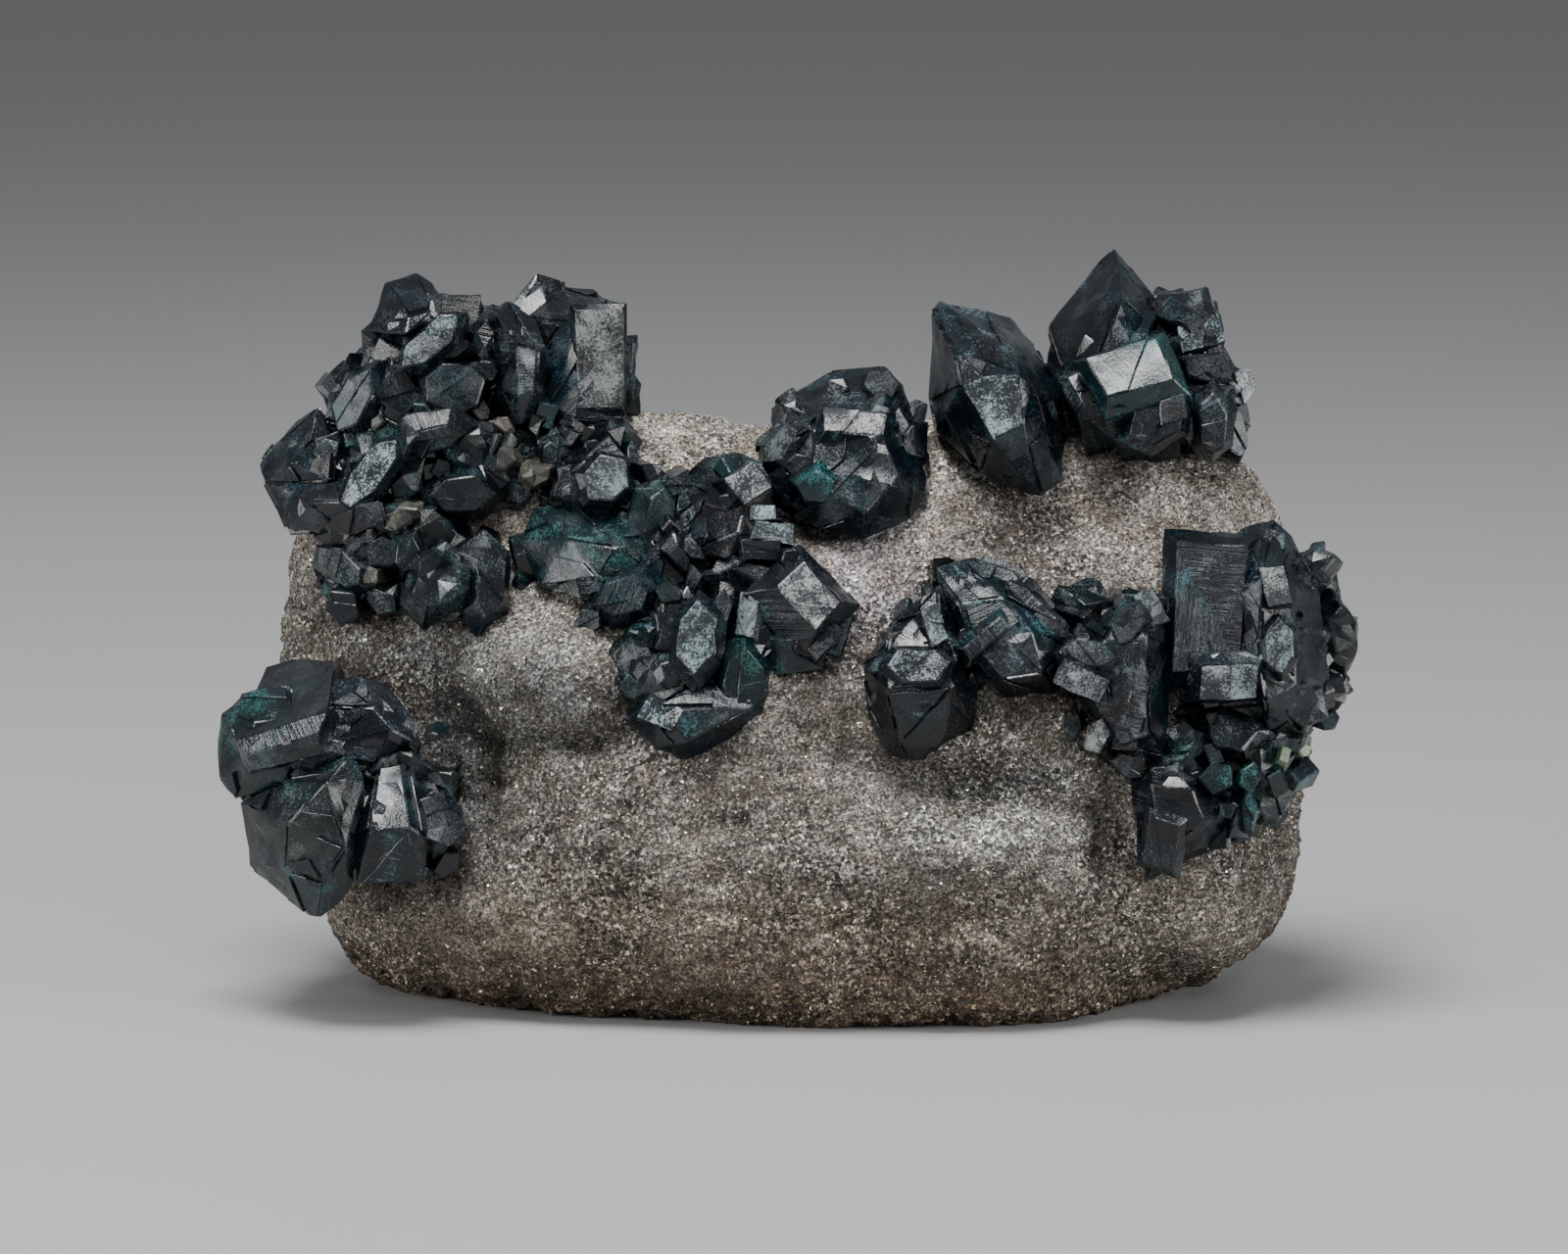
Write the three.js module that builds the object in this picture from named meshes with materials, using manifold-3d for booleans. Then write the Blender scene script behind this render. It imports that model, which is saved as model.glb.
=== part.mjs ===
// A natural mineral specimen: groups of alexandrite crystals on a saddle-shaped block of mica schist.
// Millimetres, +Z up, the front of the specimen towards -Y, the origin under its middle at the resting face.
import * as THREE from "three";
import { ConvexGeometry } from "three/addons/geometries/ConvexGeometry.js";
import { ImprovedNoise } from "three/addons/math/ImprovedNoise.js";
import { mergeVertices } from "three/addons/utils/BufferGeometryUtils.js";
import Module from "manifold-3d";

const wasm = await Module();
wasm.setup();

// The front view that the places are given in: how far it looks down, how far away the eye is,
// and the height of the view's middle above the resting edge.
const TILT = THREE.MathUtils.degToRad(8);
const EYE_DISTANCE = 1200;
const EYE_HEIGHT = 64;
// The middle of the specimen's box in that view's frame, which becomes the origin.
const CENTRE_X = 1.2;
const CENTRE_Y = 6.8;
// Clearance between a crystal group and what it sits on or stands beside.
const GAP = 0.35;
const SWELL = 0.007;

// Places are given as seen from the front: across to the right, up, and out towards the eye.
function seen(across, up, out) {
  const nearer = 1 - out / EYE_DISTANCE;
  const x = across * nearer;
  const rise = EYE_HEIGHT + (up - EYE_HEIGHT) * nearer;
  return new THREE.Vector3(
    x - CENTRE_X,
    rise * Math.sin(TILT) - out * Math.cos(TILT) - CENTRE_Y,
    rise * Math.cos(TILT) + out * Math.sin(TILT),
  );
}

function solidOf(geometry) {
  const bare = geometry.clone();
  bare.deleteAttribute("normal");
  bare.deleteAttribute("uv");
  const merged = mergeVertices(bare, 1e-4);
  return new wasm.Manifold(
    new wasm.Mesh({
      numProp: 3,
      vertProperties: merged.attributes.position.array,
      triVerts: new Uint32Array(merged.index.array),
    }),
  );
}

function geometryOf(solid) {
  const mesh = solid.getMesh();
  const geometry = new THREE.BufferGeometry();
  geometry.setAttribute("position", new THREE.BufferAttribute(mesh.vertProperties, 3));
  geometry.setIndex(new THREE.BufferAttribute(mesh.triVerts, 1));
  return geometry;
}

function largestBody(solid) {
  return solid.decompose().reduce((best, body) => (body.volume() > best.volume() ? body : best));
}

// The schist block.
// Its outline from the front, from the lower left round the top to the lower right. The lowest points lie
// under the resting face, where the block is cut off flat.
const BLOCK_MIDDLE = new THREE.Vector2(0, 50);
const BLOCK_OUTLINE = [
  [-40, -28], [-58, -12], [-69, -1], [-77, 7], [-83, 18], [-85.5, 32], [-87.5, 48], [-87, 62], [-86, 78],
  [-85, 88], [-81, 97], [-74, 106], [-66, 112], [-56, 115], [-44, 115], [-35, 112], [-29, 105.5], [-23, 103],
  [-14, 100.5], [-3, 99.5], [8, 99.5], [20, 100], [32, 101.5], [44, 104], [54, 107], [63, 108], [71, 105],
  [77, 98], [81, 91], [84, 85], [88, 78], [91, 69], [92.5, 58], [92.5, 46], [91, 36], [91.5, 25], [88, 18],
  [86, 9], [79, 3.5], [69, -2], [59, -10], [49, -17], [36, -24], [18, -30], [-10, -32],
];
const BLOCK_STEPS = [17, 12, 5];
const TOP_FULLNESS = 3;
const FOOT_FULLNESS = 8;
const RESTING_CUT = 80;
const blockCentre = seen(BLOCK_MIDDLE.x, BLOCK_MIDDLE.y, 0);

// Swellings and hollows of the front face: across, up, half width, half height, and how far they stand out.
const FRONT_RELIEF = [
  [-41, 54, 13, 8, 7.5],
  [-58, 41, 8, 17, -8],
  [-22, 24, 30, 15, 4],
  [-8, 37, 12, 5, -3],
  [36, 37, 15, 5, -7],
  [31, 45, 12, 5, 2.5],
  [24, 27, 24, 7, 4],
  [57, 25, 6, 13, -7],
  [76, 14, 13, 10, 5],
  [45, 84, 24, 11, -5],
  [60, 8, 7, 9, -3],
  [-2, 48, 6, 9, 3],
  [-70, 12, 16, 9, 4],
  [-48, -6, 40, 10, -16],
  [18, -8, 36, 8, -7],
  [68, -4, 14, 8, -16],
];

function frontDepth(across, up) {
  let out = 40 - 0.005 * (up - 18) ** 2 - 0.0016 * (across - 25) ** 2;
  for (const [x, y, halfWidth, halfHeight, stand] of FRONT_RELIEF) {
    out += stand * Math.exp(-(((across - x) / halfWidth) ** 2) - ((up - y) / halfHeight) ** 2);
  }
  return out;
}

function backDepth(across, up) {
  return -44 + 0.0022 * (up - 40) ** 2 + 0.0008 * (across + 10) ** 2;
}

// Broad lumps with smaller ones on them, the same at every build.
const noise = new ImprovedNoise();
function lumps(p) {
  const broad = noise.noise(p.x / 26 + 3.1, p.y / 26 + 7.7, p.z / 26 + 1.3);
  const small = noise.noise(p.x / 13 + 11.2, p.y / 13 + 2.4, p.z / 13 + 5.6);
  return 4 * broad + 2 * small;
}

// How far the outline lies from the block's middle, all round.
const closedOutline = [...BLOCK_OUTLINE, BLOCK_OUTLINE[0]].map(([x, y]) => new THREE.Vector2(x, y));
const rimReach = new THREE.SplineCurve(closedOutline)
  .getSpacedPoints(720)
  .map((p) => p.sub(BLOCK_MIDDLE))
  .map((p) => ({ angle: p.angle(), reach: p.length() }));

function outlineReach(angle) {
  const turned = (angle + 2 * Math.PI) % (2 * Math.PI);
  const gap = (spot) => Math.min(Math.abs(spot.angle - turned), 2 * Math.PI - Math.abs(spot.angle - turned));
  return rimReach.reduce((best, spot) => (gap(spot) < gap(best) ? spot : best)).reach;
}

// A point of the block in a direction from its middle: the outline at the sides, the front or back face ahead.
function blockPoint(direction) {
  const share = Math.min(1, Math.hypot(direction.x, direction.y));
  const angle = Math.atan2(direction.y, direction.x);
  const reach = outlineReach(angle) * share;
  const across = BLOCK_MIDDLE.x + reach * Math.cos(angle);
  const up = BLOCK_MIDDLE.y + reach * Math.sin(angle);
  const front = frontDepth(across, up);
  const back = Math.min(backDepth(across, up), front - 26);
  const squareness = THREE.MathUtils.mapLinear(direction.y, -1, 1, FOOT_FULLNESS, TOP_FULLNESS);
  const fullness = Math.sign(direction.z) * Math.sqrt(1 - share ** squareness);
  return seen(across, up, (front + back) / 2 + ((front - back) / 2) * fullness);
}

// The block, larger all over by grow and by a share of the distance from its middle.
function blockSolid(grow = 0, swell = 0) {
  const box = new THREE.BoxGeometry(1, 1, 1, ...BLOCK_STEPS);
  box.deleteAttribute("normal");
  box.deleteAttribute("uv");
  const geometry = mergeVertices(box);
  const places = geometry.getAttribute("position");
  const points = [];
  for (let i = 0; i < places.count; i += 1) {
    points.push(blockPoint(new THREE.Vector3().fromBufferAttribute(places, i).normalize()));
  }
  geometry.setFromPoints(points);
  geometry.computeVertexNormals();
  const normals = geometry.getAttribute("normal");
  points.forEach((p, i) => {
    const outward = new THREE.Vector3().fromBufferAttribute(normals, i);
    p.addScaledVector(outward, lumps(p) + grow);
    p.addScaledVector(p.clone().sub(blockCentre), swell);
  });
  geometry.setFromPoints(points);
  const below = new THREE.BoxGeometry(4 * RESTING_CUT, 4 * RESTING_CUT, RESTING_CUT);
  below.translate(0, 0, -RESTING_CUT / 2);
  return solidOf(geometry).subtract(solidOf(below));
}

// The crystals.
// Most are tablets: a flat front face, slanting shoulders down to the widest line, and a body that runs back
// into the rock. Each row gives the middle of the front face (across, up, out), its turn to the right, its tilt
// upwards and its roll in degrees, the body's width and height, the front face's share of each, how far that
// face lies off the middle (shares of the half sizes), the shoulder's height, the body's depth and the number
// of sides. The last word is the surface that the front face shows: "broken" ones have rough outlines, and
// a "bed" is a broad body of intergrown crystals behind the others.
const TABLETS = {
  "crystals_upper_left": [
    [-66, 106, 6, -18, 14, 30, 34, 27, 0.8, 0.8, 0, 0, 5, 16, 5, "bed"],
    [-46, 105, 7, 4, 8, 0, 24, 27, 0.8, 0.8, 0, 0, 5, 16, 5, "bed"],
    [-72, 91, 10, -18, -4, 20, 30, 18, 0.8, 0.8, 0, 0, 5, 14, 5, "bed"],
    [-50, 92, 11, 2, -6, 0, 26, 16, 0.8, 0.8, 0, 0, 5, 14, 5, "bed"],
    [-35, 96, 12, 6, 0, 30, 18, 18, 0.8, 0.8, 0, 0, 5, 14, 5, "bed"],
    [-74, 109.5, 1, -38, 22, 48, 19, 12, 0.66, 0.55, 0.1, 0, 4, 18, 6, "striated"],
    [-61.5, 113.5, 13, -8, 16, 43, 16, 9, 0.8, 0.66, 0, 0, 3, 14, 6, "bright"],
    [-57, 105.5, 14, 4, 4, 8, 15, 12, 0.72, 0.76, 0, 0, 3, 14, 7, "dark"],
    [-67, 104.5, 12, -14, 2, -12, 10, 12, 0.7, 0.7, 0, 0, 3, 14, 5, "dark"],
    [-75, 103.5, 10, -30, 8, 62, 16, 11, 0.72, 0.55, 0, -0.1, 4, 16, 6, "granular"],
    [-52.5, 113, 6, -8, 12, 80, 18, 9, 0.5, 0.4, 0, 0, 5, 14, 6, "dark"],
    [-31.8, 110.5, 12.6, 8, 4, 0, 9.5, 19, 0.84, 0.86, 0, 0, 1.2, 8, 4, "bright"],
    [-34.5, 99.5, 11, 4, -24, 2, 14, 9, 0.7, 0.6, 0, 0, 3, 14, 6, "granular"],
    [-31, 89.8, 21, 4, 10, -18, 12, 11, 0.74, 0.76, 0.02, 0, 1.5, 8, 6, "bright"],
    [-61, 96.5, 14, -4, -26, 14, 18, 10, 0.72, 0.5, 0, 0, 3, 14, 6, "striated"],
    [-71.6, 91, 17, -10, 6, 53, 17, 8, 0.84, 0.72, 0, 0, 2, 14, 7, "bright"],
    [-79.5, 95, 9, -14, 12, 40, 8, 6.5, 0.7, 0.7, 0, 0, 2, 12, 5, "bright"],
    [-84, 82.5, 1, -30, -6, 20, 9, 8, 0.7, 0.7, 0, 0, 2, 12, 5, "granular"],
    [-56, 87, 14, -2, -8, 6, 16, 11, 0.68, 0.6, 0, 0, 3, 14, 6, "dark"],
    [-51, 98, 12, 6, 2, -20, 9, 7, 0.7, 0.7, 0, 0, 2, 12, 5, "granular"],
    [-40.5, 94, 12, -18, 4, 84, 14, 7, 0.7, 0.5, 0, 0, 3, 14, 6, "dark"],
    [-66, 88.5, 13, 2, -10, 20, 8, 7, 0.7, 0.7, 0, 0, 2, 12, 5, "teal"],
    [-58, 118, -20, 170, 40, 0, 16, 13, 0.6, 0.6, 0, 0, 4, 14, 6, "dark"],
    [-73, 106, -26, 205, 34, 20, 15, 12, 0.6, 0.6, 0, 0, 4, 14, 6, "granular"],
    [-42, 113, -25, 160, 30, -15, 16, 13, 0.6, 0.6, 0, 0, 4, 14, 6, "dark"],
  ],
  "crystals_left_flank": [
    [-66, 76, 14, -8, 0, -4, 40, 25, 0.85, 0.8, 0, 0, 5, 14, 5, "bed"],
    [-60.5, 72.5, 24, -4, 8, 78, 18, 15, 0.6, 0.6, 0, 0, 4, 10, 6, "broken"],
    [-51.5, 72, 23, 10, 0, 86, 20, 11, 0.66, 0.5, 0, -0.1, 3, 10, 6, "striated"],
    [-77, 74.5, 14, -18, 10, -42, 13, 8, 0.78, 0.6, 0, 0, 2, 8, 6, "granular"],
    [-76.5, 67.5, 15, -14, -12, -20, 9, 9, 0.7, 0.7, 0, 0, 2, 7, 5, "dark"],
    [-69.5, 77, 15, -4, 10, 15, 11, 9, 0.68, 0.6, 0, 0, 3, 8, 5, "dark"],
    [-69.5, 68.5, 17, -6, 0, -35, 9, 6, 0.7, 0.7, 0, 0, 2, 7, 5, "granular"],
    [-78, 80.5, 9, -20, 14, 10, 9, 5, 0.7, 0.7, 0, 0, 2, 12, 5, "granular"],
  ],
  "crystals_centre": [
    [-35, 77, 17, -4, 0, 14, 34, 26, 0.85, 0.8, 0, 0, 5, 14, 5, "bed"],
    [-12, 81, 21, 0, 4, 30, 28, 22, 0.8, 0.8, 0, 0, 5, 14, 5, "bed"],
    [-8, 66, 29, 2, 0, -30, 34, 22, 0.8, 0.8, 0, 0, 5, 16, 5, "bed"],
    [-27, 63, 26, -10, -4, -40, 22, 18, 0.8, 0.8, 0, 0, 5, 16, 5, "bed"],
    [-16, 51, 33, 0, -6, 20, 20, 16, 0.8, 0.8, 0, 0, 5, 16, 5, "bed"],
    [-21.5, 82, 23, 16, 4, 82, 19, 11, 0.66, 0.56, 0, 0, 4, 10, 6, "teal"],
    [-17, 75.5, 28, 8, -18, -38, 11, 6, 0.7, 0.6, 0, 0, 2, 8, 5, "dark"],
    [-6, 89, 28, 8, 6, 34, 8, 7.5, 0.78, 0.76, 0, 0, 1.6, 8, 4, "bright"],
    [-3.6, 84, 28, 4, 10, 0, 6, 4, 0.8, 0.7, 0, 0, 1.2, 7, 4, "bright"],
    [-1.8, 80.6, 29, 10, 12, -6, 9.5, 5.5, 0.8, 0.7, 0, 0, 1.6, 8, 4, "bright"],
    [-4, 77.4, 30, 6, -8, 0, 9, 6, 0.72, 0.6, 0, 0, 2, 8, 4, "granular"],
    [3.6, 68.8, 37, 8, 6, -48, 16, 15, 0.62, 0.46, 0.02, 0.16, 5, 12, 4, "bright"],
    [-6.4, 66, 34, -6, 8, 84, 11, 7, 0.72, 0.5, 0, 0, 2, 10, 4, "bright"],
    [-3, 73, 32, 2, 18, -8, 16, 7, 0.7, 0.4, 0, 0, 3, 10, 6, "dark"],
    [1.6, 59, 34, 6, -10, 6, 13, 8.5, 0.62, 0.7, 0.2, 0, 2.5, 8, 4, "teal"],
    [-15.2, 62.5, 38, -2, 10, 84, 18, 11, 0.72, 0.66, 0, 0, 3, 12, 6, "bright"],
    [-28, 69.5, 30, -10, 4, 14, 16, 12, 0.6, 0.55, 0, 0, 4, 10, 6, "striated"],
    [-20, 70, 33, -2, 6, 30, 7, 7, 0.6, 0.6, 0, 0, 2, 7, 5, "teal"],
    [-34, 65, 27, -24, -6, 40, 9, 8, 0.6, 0.6, 0, 0, 3, 8, 5, "granular"],
    [-26.5, 58.5, 32, -18, -4, 50, 16, 12, 0.6, 0.6, 0, 0, 4, 10, 6, "broken"],
    [-7.2, 54, 37, 8, -4, 82, 17, 12, 0.68, 0.62, 0, 0, 4, 11, 7, "teal"],
    [-21.3, 49, 38, -8, 6, -26, 8.5, 6.5, 0.76, 0.72, 0, 0, 2, 8, 4, "bright"],
    [-20.5, 55, 36, -6, 0, 20, 14, 10, 0.6, 0.6, 0, 0, 3, 10, 6, "broken"],
  ],
  "crystals_upper_middle": [
    [4, 95, 14, -12, 10, 40, 20, 18, 0.8, 0.8, 0, 0, 5, 16, 5, "bed"],
    [12, 99.5, 22.5, 2, 22, -4, 14, 7, 0.78, 0.64, 0, 0, 2.5, 20, 4, "bright"],
    [0.3, 96, 17, -20, 10, 44, 14, 8.5, 0.76, 0.56, 0, 0, 2.5, 16, 6, "granular"],
    [16.8, 106, 10, 8, 16, 6, 9.5, 9.5, 0.66, 0.7, 0, 0, 2.5, 18, 6, "granular"],
    [9.2, 105.8, 9, -6, 18, -8, 7, 7, 0.6, 0.6, 0, 0, 2, 14, 5, "granular"],
    [5.6, 88, 25, -12, -10, 20, 11, 9, 0.66, 0.62, 0, 0, 3, 16, 5, "teal"],
    [22, 94, 16, 38, 2, 84, 18, 11, 0.6, 0.5, 0, 0, 3, 16, 6, "dark"],
    [23.2, 102, 4, 10, 20, 20, 6, 6, 0.6, 0.6, 0, 0, 2, 14, 5, "granular"],
    [2, 92, 20, -10, -16, 30, 9, 6, 0.7, 0.6, 0, 0, 2, 14, 5, "granular"],
    [10, 101, -10, 176, 30, 0, 17, 14, 0.6, 0.6, 0, 0, 4, 16, 6, "dark"],
  ],
  "crystals_upper_right": [
    [66, 106, 8, 6, 6, 20, 28, 22, 0.8, 0.8, 0, 0, 5, 16, 5, "bed"],
    [60.5, 108.5, 20, -8, 26, 22, 16, 13, 0.76, 0.66, 0, 0.05, 3, 18, 4, "teal"],
    [64.5, 100, 19, 4, -6, 22, 14, 12, 0.7, 0.66, 0, 0, 3, 16, 6, "granular"],
    [67.6, 101.8, 21, 6, 2, 12, 6.5, 6, 0.76, 0.72, 0, 0, 1.5, 14, 4, "granular"],
    [73, 109, 13, 8, 12, -6, 12, 8, 0.7, 0.6, 0, 0, 3, 16, 5, "dark"],
    [72.3, 115, 6, 12, 24, 16, 10, 8, 0.8, 0.7, 0, 0, 2, 18, 4, "bright"],
    [69, 119.6, -3, 12, 20, 8, 11, 7, 0.7, 0.7, 0, 0, 2, 18, 4, "granular"],
    [79.3, 105.8, 5, 26, 10, -14, 8, 10, 0.7, 0.7, 0, 0, 2, 16, 5, "bright"],
    [74.5, 99, 16, 2, -4, 88, 15, 9.5, 0.7, 0.56, 0, 0, 3, 16, 6, "dark"],
    [78.3, 98, 11, 34, 0, -76, 13, 7, 0.76, 0.6, 0, 0, 2, 14, 6, "bright"],
    [55, 102.5, 15, -10, -24, 20, 11, 7, 0.7, 0.6, 0, 0, 2, 14, 5, "striated"],
    [60, 114, -20, 188, 26, 10, 18, 15, 0.6, 0.6, 0, 0, 5, 16, 6, "dark"],
    [73, 108, -20, 160, 24, -20, 14, 12, 0.6, 0.6, 0, 0, 4, 16, 6, "granular"],
  ],
  "crystals_middle_right": [
    [34, 63, 31, 2, 4, -30, 32, 24, 0.8, 0.8, 0, 0, 5, 16, 5, "bed"],
    [23, 51, 35, -4, 0, 70, 24, 19, 0.8, 0.8, 0, 0, 5, 16, 5, "bed"],
    [23.2, 57, 43.6, -2, 4, 4, 14, 10, 0.74, 0.66, 0.05, 0.05, 2.5, 10, 6, "bright"],
    [26.3, 64.5, 41.5, 10, 10, -72, 9, 5.5, 0.74, 0.6, 0, 0, 1.6, 10, 4, "bright"],
    [44, 67, 35, 12, 10, -46, 18, 7, 0.84, 0.5, 0, 0, 2, 11, 6, "striated"],
    [36.5, 73.5, 32, 2, 24, -16, 14, 7, 0.7, 0.5, 0, 0, 3, 11, 6, "granular"],
    [35, 62, 41, 10, -4, 40, 11, 5, 0.76, 0.5, 0, 0, 2, 8, 4, "striated"],
  ],
  "crystals_right_step": [
    [57, 54, 33, 0, 2, 70, 30, 20, 0.8, 0.8, 0, 0, 5, 16, 5, "bed"],
    [51.6, 54.8, 43, -12, -16, -26, 10, 6.5, 0.84, 0.7, 0, 0, 1.5, 10, 4, "bright"],
    [53, 59.4, 42, -4, 16, -8, 13, 9, 0.74, 0.6, 0, 0, 2.5, 11, 6, "granular"],
    [60, 64.6, 40.5, 4, 8, 60, 11, 8, 0.74, 0.62, 0, 0, 3, 11, 6, "granular"],
    [63.8, 67.3, 37, 22, 12, -66, 9, 6.5, 0.74, 0.66, 0, 0, 2, 10, 4, "bright"],
    [54.3, 45.2, 41, -16, 4, 66, 8.5, 7, 0.76, 0.72, 0, 0, 1.8, 10, 5, "bright"],
    [59.4, 46, 39, 12, -2, 84, 10, 8, 0.7, 0.6, 0, 0, 2.5, 10, 4, "granular"],
    [50.2, 46.5, 36, -14, -4, 70, 10, 6, 0.6, 0.6, 0, 0, 2, 8, 5, "dark"],
    [60, 40, 35, 4, -20, -30, 11, 8, 0.6, 0.6, 0, 0, 3, 8, 5, "dark"],
  ],
  "crystals_right_flank": [
    [84, 65, 24, 14, 2, 88, 34, 26, 0.8, 0.8, 0, 0, 5, 16, 5, "bed"],
    [74, 67, 33, 2, 8, 88, 27, 16, 0.8, 0.72, 0, 0, 4, 13, 4, "striated"],
    [77, 54.3, 38, 4, -14, 2, 14, 9, 0.72, 0.66, 0.06, 0, 3, 12, 4, "bright"],
    [85.5, 71, 36.2, 4, 10, -80, 9, 6, 0.8, 0.76, 0, 0, 1.2, 8, 4, "bright"],
    [86, 61, 37.6, 4, 4, -84, 12, 7, 0.8, 0.7, 0, 0, 1.2, 8, 6, "bright"],
    [84.5, 79, 26, 2, 22, 30, 9, 9, 0.6, 0.6, 0, 0, 3, 12, 5, "granular"],
    [79.5, 74.5, 28, -12, 12, 60, 12, 8, 0.6, 0.5, 0, 0, 3, 11, 5, "dark"],
    [90.8, 75.6, 16, 18, 12, 0, 7.5, 6.5, 0.6, 0.6, 0, 0, 2, 10, 5, "teal"],
    [97.4, 62.5, 17, 26, 6, -84, 15, 9, 0.6, 0.6, 0, 0, 3, 11, 6, "broken"],
    [96.3, 53.5, 15, 34, -4, 80, 11, 6.5, 0.6, 0.6, 0, 0, 3, 11, 5, "teal"],
    [94.8, 47.5, 18, 20, -14, 20, 7, 6, 0.6, 0.6, 0, 0, 2, 10, 5, "teal"],
    [89.5, 50.5, 32, 18, -16, -70, 12, 9, 0.7, 0.62, 0, 0, 3, 11, 5, "granular"],
    [94, 66, -8, 100, 8, 0, 16, 20, 0.6, 0.6, 0, 0, 4, 14, 6, "dark"],
  ],
  "crystals_right_foot": [
    [77, 43, 29, 4, 4, 8, 32, 26, 0.8, 0.8, 0, 0, 5, 16, 5, "bed"],
    [71, 31, 32, 0, -6, 30, 24, 18, 0.8, 0.8, 0, 0, 5, 16, 5, "bed"],
    [65.5, 26.5, 39, -8, -8, 78, 11, 8, 0.76, 0.7, 0, 0, 1.5, 9, 4, "dark"],
    [65.5, 36.5, 36, -14, 2, 62, 14, 12, 0.6, 0.6, 0, 0, 3, 11, 6, "broken"],
    [69, 45, 34, -4, 10, 20, 11, 9, 0.6, 0.6, 0, 0, 3, 11, 5, "broken"],
    [78, 46, 33, 6, 10, -8, 15, 10, 0.6, 0.6, 0, 0, 3, 11, 6, "broken"],
    [75, 38, 37, 2, 4, 40, 10, 9, 0.6, 0.6, 0, 0, 3, 11, 5, "teal"],
    [81, 38, 34, 12, 2, 70, 10, 7, 0.6, 0.6, 0, 0, 2, 11, 5, "teal"],
    [85.3, 34, 26, 26, -8, 70, 12, 10, 0.66, 0.6, 0, 0, 3, 11, 6, "teal"],
    [80.6, 32, 33, 10, -6, 88, 11, 4, 0.7, 0.6, 0, 0, 1.5, 8, 5, "teal"],
    [86.8, 41.8, 31, 12, 10, 74, 4, 3, 0.7, 0.6, 0, 0, 1.2, 7, 4, "pale"],
    [90.6, 42.6, 23, 30, 8, 30, 5, 3.5, 0.6, 0.6, 0, 0, 1.5, 8, 5, "pale"],
    [76, 32, 35, 4, -12, 30, 10, 7, 0.7, 0.6, 0, 0, 2, 10, 5, "broken"],
  ],
  "crystals_lower_left": [
    [-85, 39, 28, -14, 0, 70, 30, 25, 0.8, 0.8, 0, 0, 5, 16, 5, "bed"],
    [-67, 34, 32, 4, 0, 30, 26, 20, 0.8, 0.8, 0, 0, 5, 16, 5, "bed"],
    [-87, 42, 36, -8, -28, 16, 17, 8, 0.78, 0.5, 0, 0, 3, 18, 4, "granular"],
    [-80, 42.5, 36, 0, 8, 24, 14, 8, 0.6, 0.5, 0, 0, 3, 16, 6, "dark"],
    [-59, 29.5, 35, 22, 4, -22, 13, 13, 0.62, 0.6, 0, 0, 4, 18, 6, "granular"],
    [-60.5, 33.5, 36, 4, 14, 20, 7, 5, 0.7, 0.6, 0, 0, 2, 14, 4, "granular"],
    [-58.5, 22.5, 33, 14, -18, 40, 10, 8, 0.6, 0.6, 0, 0, 3, 16, 5, "dark"],
  ],
};

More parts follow.
